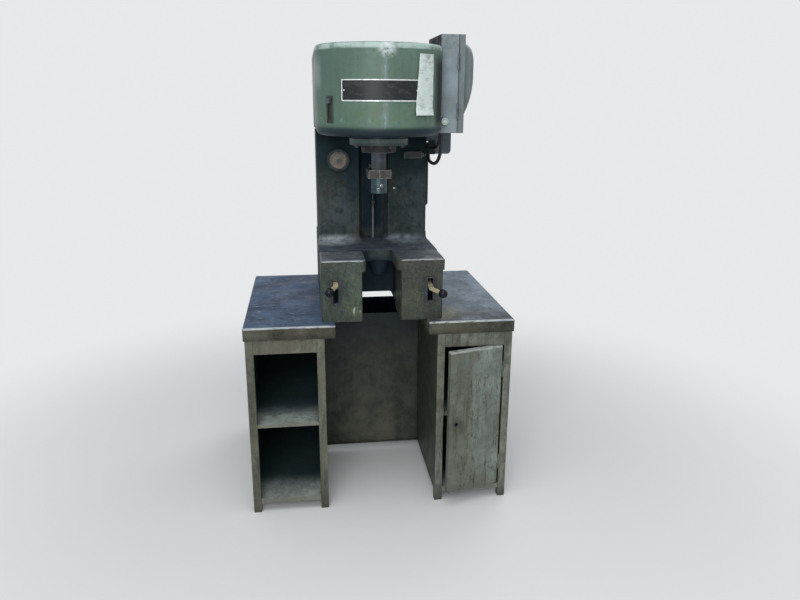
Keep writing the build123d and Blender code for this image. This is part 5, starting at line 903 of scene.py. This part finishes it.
def add_socket(shape, radius, height, point, direction, key):
    """A cap or set screw with a six-sided socket."""
    part = bmesh.new()
    bmesh.ops.create_circle(part, cap_ends=True, segments=24, radius=radius)
    raised = bmesh.ops.extrude_face_region(part, geom=part.faces[:])
    lifted = [v for v in raised["geom"] if isinstance(v, bmesh.types.BMVert)]
    bmesh.ops.translate(part, verts=lifted, vec=(0, 0, height))
    cap = [f for f in part.faces if f.calc_center_median().z > height * 0.9]
    bmesh.ops.inset_region(part, faces=cap, thickness=radius * 0.12, depth=radius * 0.08)
    cap = [f for f in part.faces if f.calc_center_median().z > height * 1.0
           and len(f.verts) == 24]
    bmesh.ops.inset_region(part, faces=cap, thickness=radius - radius * 0.12 - key, depth=0.0)
    cap = [f for f in part.faces if f.calc_center_median().z > height * 1.0
           and len(f.verts) == 24]
    sunk = bmesh.ops.extrude_face_region(part, geom=cap)
    low = [v for v in sunk["geom"] if isinstance(v, bmesh.types.BMVert)]
    bmesh.ops.translate(part, verts=low, vec=(0, 0, -height * 0.6))
    join(shape, part, point, direction)


def add_bar(shape, length, width, thick, point, direction, round_off=0.0):
    """A small flat bar lying on a surface, with rounded corners where asked."""
    made = bmesh.ops.create_cube(shape, size=1.0)
    verts = made["verts"]
    bmesh.ops.scale(shape, verts=verts, vec=(length, width, thick))
    bmesh.ops.translate(shape, verts=verts, vec=(0, 0, thick / 2))
    if round_off:
        corner = [e for e in shape.edges if all(v in verts for v in e.verts)
                  and abs(e.verts[0].co.z - e.verts[1].co.z) > thick * 0.5]
        rounded = bmesh.ops.bevel(shape, geom=corner, offset=round_off, segments=4, profile=0.5,
                                  affect="EDGES", material=-1)
        verts = list(set(verts) | set(rounded["verts"]))
        verts = [v for v in verts if v.is_valid]
    stand(shape, verts, point, direction)


def head_point(angle, height, lift=0.0):
    """A point on the head's round front, its angle from straight ahead, positive to -X."""
    reach = HEAD_R + lift
    return Vector((HEAD_X - reach * sin(angle), HEAD_Y - reach * cos(angle), height))


def head_out(angle):
    """The outward direction of the head's round front at an angle."""
    return Vector((-sin(angle), -cos(angle), 0.0))


def swept_sheet(shape, start, end, low, high, inner, outer, steps):
    """A curved sheet round the head's axis, between two angles and two heights."""
    corners = [(inner, low), (outer, low), (outer, high), (inner, high)]
    verts = [shape.verts.new((HEAD_X - r * sin(start), HEAD_Y - r * cos(start), z))
             for r, z in corners]
    loop = [shape.edges.new((verts[i], verts[(i + 1) % 4])) for i in range(4)]
    shape.faces.new(verts)
    made = bmesh.ops.spin(shape, geom=loop, cent=(HEAD_X, HEAD_Y, 0), axis=(0, 0, 1),
                          angle=start - end, steps=steps, use_duplicate=False)
    bmesh.ops.contextual_create(shape, geom=[e for e in made["geom_last"]
                                             if isinstance(e, bmesh.types.BMEdge)])


# Settings


class PressColours(bpy.types.PropertyGroup):
    """Colours of the press and its bench."""

    head: FloatVectorProperty(name="Head", description="Gloss enamel of the head",
                              default=(0.086, 0.150, 0.116), subtype="COLOR", min=0, max=1)
    frame: FloatVectorProperty(name="Frame", description="Enamel of base and column",
                               default=(0.028, 0.042, 0.046), subtype="COLOR", min=0, max=1)
    # The flange's default is darker than its sage paint, as painted shade under the head.
    flange: FloatVectorProperty(name="Flange", description="Enamel of the cylinder flange",
                                default=(0.075, 0.125, 0.118), subtype="COLOR", min=0, max=1)
    housing: FloatVectorProperty(name="Housing", description="Olive enamel of the housings",
                                 default=(0.048, 0.070, 0.056), subtype="COLOR", min=0, max=1)
    # The tops' blue tint is partly a painted reflection of a blue wall.
    table: FloatVectorProperty(name="Bench top", description="Scratched sheet of the tops",
                               default=(0.040, 0.074, 0.136), subtype="COLOR", min=0, max=1)
    apron: FloatVectorProperty(name="Apron", description="Folded sides of the tops",
                               default=(0.066, 0.066, 0.050), subtype="COLOR", min=0, max=1)
    cabinet: FloatVectorProperty(name="Cabinet", description="Enamel of the cabinets",
                                 default=(0.088, 0.090, 0.066), subtype="COLOR", min=0, max=1)
    door: FloatVectorProperty(name="Door", description="Enamel of the cabinet door",
                              default=(0.165, 0.195, 0.172), subtype="COLOR", min=0, max=1)
    # The knee panel's default is darker than its enamel, as painted shade under the bench top.
    panel: FloatVectorProperty(name="Knee panel", description="Enamel of the knee panel",
                               default=(0.035, 0.041, 0.034), subtype="COLOR", min=0, max=1)
    box: FloatVectorProperty(name="Switch box", description="Grey enamel of the switch box",
                             default=(0.205, 0.258, 0.284), subtype="COLOR", min=0, max=1)
    rust: FloatVectorProperty(name="Rust", description="Rust on ram, gland and trip arm",
                              default=(0.050, 0.040, 0.032), subtype="COLOR", min=0, max=1)
    lever: FloatVectorProperty(name="Lever", description="Yellow metal of the hand levers",
                               default=(0.40, 0.34, 0.22), subtype="COLOR", min=0, max=1)
    paper: FloatVectorProperty(name="Paper", description="Blank paper label",
                               default=(0.59, 0.67, 0.66), subtype="COLOR", min=0, max=1)
    dial: FloatVectorProperty(name="Dial", description="Yellowed gauge dial",
                              default=(0.20, 0.165, 0.125), subtype="COLOR", min=0, max=1)


class PressWear(bpy.types.PropertyGroup):
    """Colours of dirt and wear."""

    grime: FloatVectorProperty(name="Grime", description="Oil and dirt in runs and creases",
                               default=(0.018, 0.021, 0.018), subtype="COLOR", min=0, max=1)
    stain: FloatVectorProperty(name="Stain", description="Warm stain in the enamel",
                               default=(0.075, 0.066, 0.044), subtype="COLOR", min=0, max=1)
    bare: FloatVectorProperty(name="Bare", description="Primer and bare metal at worn edges",
                              default=(0.17, 0.185, 0.175), subtype="COLOR", min=0, max=1)


class PressSizes(bpy.types.PropertyGroup):
    """Sizes of the small pieces."""

    plate_left: FloatProperty(name="Plate left", description="Angle of the plate's left end",
                              default=radians(39.0), subtype="ANGLE")
    plate_right: FloatProperty(name="Plate right", description="Angle of its right end",
                               default=radians(-31.0), subtype="ANGLE")
    plate_low: FloatProperty(name="Plate low", description="Height of its lower edge",
                             default=1.455, unit="LENGTH")
    plate_high: FloatProperty(name="Plate high", description="Height of its upper edge",
                              default=1.522, unit="LENGTH")
    paper_left: FloatProperty(name="Paper left", description="Angle of the label's left edge",
                              default=radians(-28.7), subtype="ANGLE")
    paper_right: FloatProperty(name="Paper right", description="Angle of its right edge",
                               default=radians(-48.6), subtype="ANGLE")
    paper_low: FloatProperty(name="Paper low", description="Height of its lower edge",
                             default=1.412, unit="LENGTH")
    paper_high: FloatProperty(name="Paper high", description="Height of its upper edge",
                              default=1.601, unit="LENGTH")
    screw: FloatProperty(name="Screw", description="Radius of the cover screws",
                         default=0.0058, unit="LENGTH")
    conduit: FloatProperty(name="Conduit", description="Radius of the conduits",
                           default=0.0065, unit="LENGTH")
    tick_count: IntProperty(name="Ticks", description="Marks round the gauge dial", default=28)
    floor: FloatProperty(name="Floor", description="Half the floor's side", default=7.0,
                         unit="LENGTH")


def colours():
    """The object's colours."""
    return bpy.context.scene.press_colours


def wear():
    """The colours of dirt and wear."""
    return bpy.context.scene.press_wear


def sizes():
    """The small pieces' sizes."""
    return bpy.context.scene.press_sizes


def inner_faces(name):
    """The ways that a cabinet's inner faces look, each with its range of X."""
    low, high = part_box(name)
    middle = (low[X] + high[X]) / 2
    return (((1, 0, 0), low[X] - 0.01, middle), ((-1, 0, 0), middle, high[X] + 0.01),
            (FRONT, low[X] - 0.01, high[X] + 0.01))


def paint(material, *names):
    """Gives CAD nodes their finished material."""
    for name in names:
        mesh = NODES[name].data
        if not mesh.materials:
            mesh.materials.append(material)
        for index in range(len(mesh.materials)):
            mesh.materials[index] = material


# Operators


class PRESS_OT_castings(bpy.types.Operator):
    """Finishes head, column, base and lever housings"""

    bl_idname = "press.castings"
    bl_label = "Finish castings"

    def execute(self, context):
        paint(head_enamel(colours(), wear()), "head_casting")
        paint(frame_enamel(colours(), wear()), "press_frame", "tank_cover", "junction_block",
              "rear_covers")
        paint(housing_enamel("left housing olive enamel", colours(), wear(), True),
              "lever_housing_left")
        paint(housing_enamel("right housing olive enamel", colours(), wear(), False),
              "lever_housing_right")
        paint(flange_finish(colours(), wear()), "cylinder")
        return {"FINISHED"}


class PRESS_OT_bench(bpy.types.Operator):
    """Finishes the bench's tops, cabinets, shelves, door and panels"""

    bl_idname = "press.bench"
    bl_label = "Finish bench"

    def execute(self, context):
        c = colours()
        paint(table_finish("left top scratched sheet", c, wear(), True), "table_top_left")
        paint(table_finish("right top scratched sheet", c, wear(), False), "table_top_right")
        paint(cabinet_finish("left cabinet enamel", c, wear(), c.cabinet, 0.4,
                             inside=inner_faces("cabinet_left")), "cabinet_left")
        paint(cabinet_finish("right cabinet enamel", c, wear(), blend(c.cabinet, c.door, 0.35),
                             8.8, knee_side_shade=0.8, inside=inner_faces("cabinet_right")),
              "cabinet_right")
        paint(shelf_finish(c, wear()), "middle_shelves", "bottom_shelves")
        paint(panel_finish(c, wear()), "knee_panel")
        # the bridge shelf is near-black navy: painted shade under the bench top, with a painted blue
        # reflection
        paint(dark_gloss("bridge shelf painted shade", (0.004, 0.009, 0.020), 0.80, 0.95, 0.0, 40.0, 0.0),
              "bridge_shelf")
        paint(door_finish(c, wear()), "cabinet_door")
        return {"FINISHED"}


class PRESS_OT_steel(bpy.types.Operator):
    """Finishes ram, rods, pins, bolts, levers and pipes"""

    bl_idname = "press.steel"
    bl_label = "Finish steel"

    def execute(self, context):
        c = colours()
        paint(rusted_steel("gland dark steel", (0.016, 0.018, 0.021), c.rust, 0.55), "gland")
        paint(rusted_steel("ram oily steel", (0.052, 0.064, 0.078), c.rust, 0.45), "ram")
        paint(rusted_steel("trip arm rusted steel", (0.062, 0.060, 0.056), c.rust, 0.6, 0.35, 0.0034),
              "trip_arm")
        # its wide bright edges: rubbed metal and painted highlights
        paint(rusted_steel("valve block dark steel", (0.026, 0.028, 0.030), c.rust, 0.4, 0.3, 0.003),
              "pressure_valve", "pressure_adjuster")
        paint(worked_steel("holder oily steel", (0.062, 0.094, 0.104), (0.05, 0.04, 0.03), 0.34,
                           0.52), "tool_holder")
        paint(worked_steel("rod dull steel", (0.11, 0.12, 0.125), (0.07, 0.05, 0.035), 0.40, 0.58,
                           shine=0.6), "selector_tab", "oil_pipes")
        paint(worked_steel("stroke rod steel", (0.15, 0.17, 0.18), (0.075, 0.078, 0.075), 0.40, 0.58,
                           shine=0.4, shaded_above=1.05), "stroke_rod")
        paint(worked_steel("slot plate steel", (0.048, 0.055, 0.062), (0.05, 0.04, 0.03), 0.42,
                           0.6, shine=0.6), "slot_plates")
        paint(worked_steel("dark oiled steel", (0.042, 0.044, 0.046), (0.045, 0.034, 0.026), 0.40,
                           0.6, shine=0.6),
              "hinge_pins", "lever_pivot_pins", "lever_springs", "hold_down_bolts",
              "selector_plate", "flange_bolts", "tool_screw", "stop_collars", "coupling")
        paint(worked_steel("ground steel", (0.50, 0.50, 0.49), (0.2, 0.15, 0.1), 0.18, 0.34, 900.0,
                           0.15), "piston", "valve_spool", "motor_rotor", "pump_shaft")
        paint(worked_steel("valve cast iron", (0.16, 0.16, 0.155), (0.10, 0.06, 0.04), 0.42, 0.62,
                           60.0), "main_valve")
        paint(lever_metal(c), "hand_lever_left", "hand_lever_right")
        return {"FINISHED"}


class PRESS_OT_fittings(bpy.types.Operator):
    """Finishes switch box, conduits, knobs, gauge, motor and pump"""

    bl_idname = "press.fittings"
    bl_label = "Finish fittings"

    def execute(self, context):
        c = colours()
        paint(box_finish("switch box enamel", c.box, wear(), 9.1), "switch_box")
        paint(box_finish("switch box cover enamel", blend(shade(c.box, 0.70),
                                                           (0.17, 0.185, 0.165), 0.25),
                         wear(), 4.3),
              "switch_box_cover")
        paint(plain_enamel("bracket enamel", (0.080, 0.112, 0.138), wear(), 3.0), "box_bracket")
        paint(plain_enamel("motor enamel", (0.14, 0.16, 0.15), wear(), 2.2), "motor", "pump")
        paint(dark_gloss("knob black gloss", (0.002, 0.005, 0.008), 0.10, 0.22, 0.0, level=0.2),
              "lever_knob_left", "lever_knob_right")
        paint(dark_gloss("gauge case black", (0.005, 0.013, 0.014), 0.5, 0.7, 0.0), "gauge_case")
        paint(dark_gloss("cable satin black", (0.018, 0.022, 0.026), 0.36, 0.56, 0.1, 60.0),
              "side_cable", "supply_bushing")
        paint(dark_gloss("starter moulded black", (0.02, 0.02, 0.021), 0.34, 0.5, 0.1), "starter")
        paint(button_finish(), "motor_button")
        paint(dark_gloss("needle matt black", (0.022, 0.02, 0.018), 0.40, 0.6, 0.0), "gauge_needle")
        paint(dial_finish(c), "gauge_dial")
        paint(glass_finish(), "gauge_glass")
        return {"FINISHED"}


class PRESS_OT_nameplate(bpy.types.Operator):
    """Puts a blank rimmed plate and its pins on the head"""

    bl_idname = "press.nameplate"
    bl_label = "Blank nameplate"

    def execute(self, context):
        s = sizes()
        shape = bmesh.new()
        swept_sheet(shape, s.plate_left, s.plate_right, s.plate_low, s.plate_high,
                    HEAD_R - 0.0002, HEAD_R + 0.0016, 56)
        bmesh.ops.recalc_face_normals(shape, faces=shape.faces)
        corner = [e for e in shape.edges if abs(e.calc_face_angle(0.0)) > 1.0
                  and abs(e.verts[0].co.z - e.verts[1].co.z) < 1e-5
                  and (e.verts[0].co - e.verts[1].co).length < 0.0025]
        bmesh.ops.bevel(shape, geom=corner, offset=0.006, segments=5, profile=0.5,
                        affect="EDGES", material=-1)
        axis = Vector((HEAD_X, HEAD_Y, 0))
        outer = []
        for face in shape.faces:
            out = face.calc_center_median() - axis
            out.z = 0
            if face.normal.dot(out.normalized()) > 0.9:
                outer.append(face)
        bmesh.ops.inset_region(shape, faces=outer, thickness=0.0032, depth=0.0,
                               use_even_offset=True)
        bmesh.ops.inset_region(shape, faces=outer, thickness=0.0004, depth=-0.0007,
                               use_even_offset=True)
        for face in outer:
            face.material_index = 1
        piece("nameplate_blank", shape, [plate_rim(), plate_field()], ROOT)
        pins = bmesh.new()
        middle = (s.plate_low + s.plate_high) / 2
        for angle in (s.plate_left - PIN_INSET, s.plate_right + PIN_INSET):
            add_button(pins, 0.0026, 0.0016, head_point(angle, middle, 0.0009), head_out(angle))
        piece("nameplate_pins", pins, [plate_rim()], ROOT)
        return {"FINISHED"}


class PRESS_OT_paper_label(bpy.types.Operator):
    """Puts a blank, slightly curled paper label on the head"""

    bl_idname = "press.paper_label"
    bl_label = "Blank paper label"

    def execute(self, context):
        s = sizes()
        shape = bmesh.new()
        swept_sheet(shape, s.paper_left, s.paper_right, s.paper_low, s.paper_high,
                    HEAD_R + 0.0019, HEAD_R + 0.0024, 16)
        tall = [e for e in shape.edges if abs(e.verts[0].co.z - e.verts[1].co.z) > 0.05]
        bmesh.ops.subdivide_edges(shape, edges=tall, cuts=14, use_grid_fill=True)
        for vert in shape.verts:
            drop = max(0.0, (s.paper_low + 0.03 - vert.co.z) / 0.03)
            out = Vector((vert.co.x - HEAD_X, vert.co.y - HEAD_Y, 0)).normalized()
            wave = 0.0006 * sin(vert.co.z * 90.0) + 0.0005 * sin(vert.co.x * 160.0)
            vert.co += out * (0.0012 + wave + 0.0045 * drop * drop)
            share = (vert.co.z - s.paper_low) / (s.paper_high - s.paper_low)
            angle = atan2(HEAD_X - vert.co.x, HEAD_Y - vert.co.y)
            inner = (angle - s.paper_right) / (s.paper_left - s.paper_right)
            slant = radians(2.1) * (2 * share - 1) * inner - radians(0.6) * (1 - inner)
            turn = Matrix.Rotation(slant, 3, "Z")
            axis = Vector((HEAD_X, HEAD_Y, 0))
            vert.co = axis + turn @ (vert.co - axis)
        piece("paper_label_blank", shape, [paper_finish(colours())], ROOT)
        return {"FINISHED"}


class PRESS_OT_gauge_marks(bpy.types.Operator):
    """Puts ticks and plain numbers on the gauge dial"""

    bl_idname = "press.gauge_marks"
    bl_label = "Gauge marks"

    def execute(self, context):
        low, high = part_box("gauge_dial")
        centre = (Vector(low) + Vector(high)) / 2
        face_y = low[Y] - 0.00005
        reach = (high[X] - low[X]) / 2
        shape = bmesh.new()
        count = sizes().tick_count
        for index in range(count + 1):
            turn = radians(DIAL_START - DIAL_SWEEP * index / count)
            major = index % 7 == 0
            length = reach * (0.16 if major else 0.09)
            middle = reach * 0.81 - length / 2
            point = (centre.x + cos(turn) * middle, face_y, centre.z + sin(turn) * middle)
            add_bar(shape, length, reach * (0.030 if major else 0.016), 0.00008, point,
                    FRONT)
            # the bar is laid along the tick's own radius
            fresh = [v for v in shape.verts if not v.tag]
            bmesh.ops.rotate(shape, cent=point, matrix=Matrix.Rotation(-turn, 3, "Y"),
                             verts=fresh)
            for vert in shape.verts:
                vert.tag = True
        ink = dark_gloss("dial printed ink", (0.03, 0.026, 0.022), 0.45, 0.6, 0.0)
        piece("gauge_ticks", shape, [ink], ROOT)
        for index, word in enumerate(DIAL_NUMBERS):
            turn = radians(DIAL_START - DIAL_SWEEP * index / (len(DIAL_NUMBERS) - 1))
            text = bpy.data.curves.new("gauge_number_" + word, "FONT")
            text.body = word
            text.size = reach * 0.22
            text.align_x = "CENTER"
            text.align_y = "CENTER"
            text.extrude = 0.00003
            plain = bpy.data.objects.new("number", text)
            bpy.context.scene.collection.objects.link(plain)
            bpy.context.view_layer.update()
            mesh = bpy.data.meshes.new_from_object(plain)
            bpy.data.objects.remove(plain)
            number = bmesh.new()
            number.from_mesh(mesh)
            bmesh.ops.remove_doubles(number, verts=number.verts, dist=1e-6)
            place = (centre.x + cos(turn) * reach * 0.56, face_y - 0.00005,
                     centre.z + sin(turn) * reach * 0.56)
            upright = Matrix.Translation(place) @ Matrix.Rotation(pi / 2, 4, "X")
            bmesh.ops.transform(number, matrix=upright, verts=number.verts)
            piece("gauge_number_" + word, number, [ink], ROOT)
        return {"FINISHED"}


class PRESS_OT_screws(bpy.types.Operator):
    """Adds screw heads to plates, covers, holder and box"""

    bl_idname = "press.screws"
    bl_label = "Small screws"

    def execute(self, context):
        bright = worked_steel("screw dull steel", (0.10, 0.11, 0.11), (0.07, 0.05, 0.035), 0.36,
                              0.55, shine=0.7)
        low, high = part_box("slot_plates")
        shape = bmesh.new()
        front = low[Y]
        middle = (low[Z] + high[Z]) / 2
        for x in SLOT_SCREWS_X:
            for z in (middle - SLOT_SCREWS_UP, middle + SLOT_SCREWS_UP):
                add_button(shape, 0.0026, 0.0012, (x, front + 0.0003, z), FRONT, x * 9,
                           0.0009)
        piece("slot_plate_screws", shape, [bright], ROOT)
        low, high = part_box("tool_holder")
        centre = (Vector(low) + Vector(high)) / 2
        radius = (high[X] - low[X]) / 2
        shape = bmesh.new()
        for turn, height in SET_SCREWS:
            way = Vector((sin(radians(turn)), -cos(radians(turn)), 0))
            point = centre + way * (radius - 0.0012)
            point.z = low[Z] + (high[Z] - low[Z]) * height
            add_socket(shape, 0.0048, 0.0026, point, way, 0.0022)
        piece("holder_set_screws", shape,
              [worked_steel("set screw bright steel", (0.62, 0.64, 0.62), (0.2, 0.16, 0.1), 0.14,
                            0.3, 900.0, 0.1)], "ram_assembly")
        plug = bmesh.new()
        add_button(plug, 0.0046, 0.0022, PLUG, FRONT, 0.4, 0.0012)
        piece("column_plug", plug,
              [worked_steel("plug bright steel", (0.60, 0.61, 0.60), (0.2, 0.16, 0.1), 0.18, 0.34,
                            900.0, 0.1)], ROOT)
        grey = plain_enamel("knock-out enamel", shade(colours().box, 0.8), wear(), 6.0)
        disc = bmesh.new()
        add_button(disc, 0.0108, 0.0008, KNOCKOUT, FRONT)
        piece("box_knockout", disc, [grey], ROOT)
        shape = bmesh.new()
        for x, z in COVER_SCREWS:
            add_button(shape, sizes().screw, 0.0030, (x, REAR_Y, z), (0, 1, 0), x * 31 + z * 7,
                       0.0014)
        piece("rear_cover_screws", shape, [bright], ROOT)
        sheet = bmesh.new()
        add_bar(sheet, 0.029, 0.054, 0.004, GROMMET, FRONT, 0.004)
        rubber = dark_gloss("grommet rubber", (0.006, 0.009, 0.012), 0.5, 0.7, 0.0, level=0.2)
        piece("bracket_grommet", sheet, [rubber], ROOT)
        return {"FINISHED"}


class PRESS_OT_conduits(bpy.types.Operator):
    """Draws the two black conduits as smooth tubes on their routes"""

    bl_idname = "press.conduits"
    bl_label = "Smooth conduits"

    def execute(self, context):
        black = dark_gloss("smooth conduit black", (0.016, 0.020, 0.024), 0.36, 0.56, 0.1, 60.0)
        curve = bpy.data.curves.new("conduits", "CURVE")
        curve.dimensions = "3D"
        curve.bevel_depth = sizes().conduit
        curve.bevel_resolution = 6
        curve.resolution_u = 16
        curve.use_fill_caps = True
        for route in CONDUIT_ROUTES:
            spline = curve.splines.new("NURBS")
            spline.points.add(len(route) - 1)
            for point, (x, y, z) in zip(spline.points, route):
                point.co = (*on_bench(x, y, z), 1.0)
            spline.order_u = 3
            spline.use_endpoint_u = True
        drawn = bpy.data.objects.new("drawn", curve)
        context.scene.collection.objects.link(drawn)
        context.view_layer.update()
        mesh = bpy.data.meshes.new_from_object(drawn)
        bpy.data.objects.remove(drawn)
        shape = bmesh.new()
        shape.from_mesh(mesh)
        made = piece("conduits_smooth", shape, [black], ROOT, 60.0)
        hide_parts("conduits")
        return {"FINISHED"}


class PRESS_OT_stage(bpy.types.Operator):
    """Makes the pale floor, the soft lights and the camera of the photograph"""

    bl_idname = "press.stage"
    bl_label = "Stage"

    def execute(self, context):
        scene = bpy.context.scene
        shape = bmesh.new()
        half = sizes().floor
        bmesh.ops.create_grid(shape, x_segments=2, y_segments=2, size=half)
        bmesh.ops.translate(shape, verts=shape.verts, vec=(0, 0, CAD_BOX[0][Z] - 0.0004))
        mesh = bpy.data.meshes.new("floor")
        shape.to_mesh(mesh)
        shape.free()
        floor = bpy.data.objects.new("floor", mesh)
        scene.collection.objects.link(floor)
        f = Finish("pale floor")
        f.shader.inputs["Base Color"].default_value = (0.70, 0.71, 0.715, 1.0)
        f.shader.inputs["Roughness"].default_value = 0.9
        f.shader.inputs["Specular IOR Level"].default_value = 0.0
        away = f.add("ShaderNodeVectorMath", {"operation": "LENGTH"}, Vector=f.place)
        ray = f.add("ShaderNodeLightPath").outputs["Is Camera Ray"]
        far = f.times(f.step(away.outputs["Value"], 0.9, 2.4), ray)
        glow = f.add("ShaderNodeEmission", Color=BACKDROP, Strength=1.0)
        fade = f.add("ShaderNodeMixShader")
        f.feed(fade.inputs[0], far)
        f.tree.links.new(f.shader.outputs[0], fade.inputs[1])
        f.tree.links.new(glow.outputs[0], fade.inputs[2])
        f.tree.links.new(fade.outputs[0], f.tree.nodes["Material Output"].inputs["Surface"])
        mesh.materials.append(f.material)

        world = bpy.data.worlds.new("soft studio")
        scene.world = world
        world.use_nodes = True
        tree = world.node_tree
        ground = tree.nodes["Background"]
        ground.inputs["Color"].default_value = (0.93, 0.96, 1.0, 1.0)
        ground.inputs["Strength"].default_value = 0.50
        seen = tree.nodes.new("ShaderNodeBackground")
        seen.inputs["Color"].default_value = (*BACKDROP, 1.0)
        seen.inputs["Strength"].default_value = 1.0
        path = tree.nodes.new("ShaderNodeLightPath")
        choose = tree.nodes.new("ShaderNodeMixShader")
        shows = path.outputs["Is Camera Ray"]
        for ray in ("Is Glossy Ray", "Is Transmission Ray"):
            either = tree.nodes.new("ShaderNodeMath")
            either.operation = "MAXIMUM"
            tree.links.new(shows, either.inputs[0])
            tree.links.new(path.outputs[ray], either.inputs[1])
            shows = either.outputs[0]
        tree.links.new(shows, choose.inputs[0])
        tree.links.new(ground.outputs[0], choose.inputs[1])
        tree.links.new(seen.outputs[0], choose.inputs[2])
        tree.links.new(choose.outputs[0], tree.nodes["World Output"].inputs["Surface"])

        for name, place, aim, side, power in (
                ("overhead", (-0.4, -1.2, 3.6), (0.0, 0.0, 0.9), 2.6, 46.0),
                ("front", (-1.0, -4.2, 2.2), (0.0, 0.0, 0.8), 2.4, 88.0),
                ("back", (2.4, 2.8, 4.0), (0.0, 0.0, 0.8), 2.4, 42.0)):
            light = bpy.data.lights.new(name, "AREA")
            light.shape = "SQUARE"
            light.size = side
            light.energy = power
            lamp = bpy.data.objects.new(name, light)
            scene.collection.objects.link(lamp)
            lamp.location = place
            lamp.rotation_euler = (Vector(aim) - Vector(place)).to_track_quat("-Z", "Y").to_euler()

        yaw, pitch, roll = CAMERA_TURNS
        ahead = Vector((sin(yaw) * cos(pitch), cos(yaw) * cos(pitch), -sin(pitch)))
        right = Vector((cos(yaw), -sin(yaw), 0.0))
        down = ahead.cross(right)
        across = right * cos(roll) + down * sin(roll)
        fall = down * cos(roll) - right * sin(roll)
        lens = bpy.data.cameras.new("camera")
        lens.sensor_width = 36.0
        lens.lens = CAMERA_LENS
        lens.clip_end = 60.0
        camera = bpy.data.objects.new("camera", lens)
        scene.collection.objects.link(camera)
        turn = Matrix((across, -fall, -ahead)).transposed().to_4x4()
        camera.matrix_world = Matrix.Translation(CAMERA_PLACE) @ turn
        scene.camera = camera
        scene.view_settings.view_transform = "Standard"
        return {"FINISHED"}


class PRESS_PT_panel(bpy.types.Panel):
    """Lists the steps and their settings"""

    bl_idname = "PRESS_PT_panel"
    bl_label = "Bench press"
    bl_space_type = "VIEW_3D"
    bl_region_type = "UI"
    bl_category = "Press"

    def draw(self, context):
        for step in STEPS:
            self.layout.operator(step.bl_idname)
        for group in (context.scene.press_colours, context.scene.press_wear,
                      context.scene.press_sizes):
            for name in group.__annotations__:
                self.layout.prop(group, name)


STEPS = (PRESS_OT_stage, PRESS_OT_castings, PRESS_OT_bench, PRESS_OT_steel, PRESS_OT_fittings,
         PRESS_OT_nameplate, PRESS_OT_paper_label, PRESS_OT_gauge_marks, PRESS_OT_screws,
         PRESS_OT_conduits)
CLASSES = (PressColours, PressWear, PressSizes) + STEPS + (PRESS_PT_panel,)


def register():
    """Registers the classes and hangs the settings on the scene."""
    for cls in CLASSES:
        bpy.utils.register_class(cls)
    bpy.types.Scene.press_colours = PointerProperty(type=PressColours)
    bpy.types.Scene.press_wear = PointerProperty(type=PressWear)
    bpy.types.Scene.press_sizes = PointerProperty(type=PressSizes)


def unregister():
    """Takes the settings off the scene and the classes out again."""
    del bpy.types.Scene.press_sizes
    del bpy.types.Scene.press_wear
    del bpy.types.Scene.press_colours
    for cls in reversed(CLASSES):
        bpy.utils.unregister_class(cls)


def main():
    register()
    bpy.ops.press.stage()
    bpy.ops.press.castings()
    bpy.ops.press.bench()
    bpy.ops.press.steel()
    bpy.ops.press.fittings()
    bpy.ops.press.nameplate()
    bpy.ops.press.paper_label()
    bpy.ops.press.gauge_marks()
    bpy.ops.press.screws()
    bpy.ops.press.conduits()


if __name__ == "__main__":
    main()
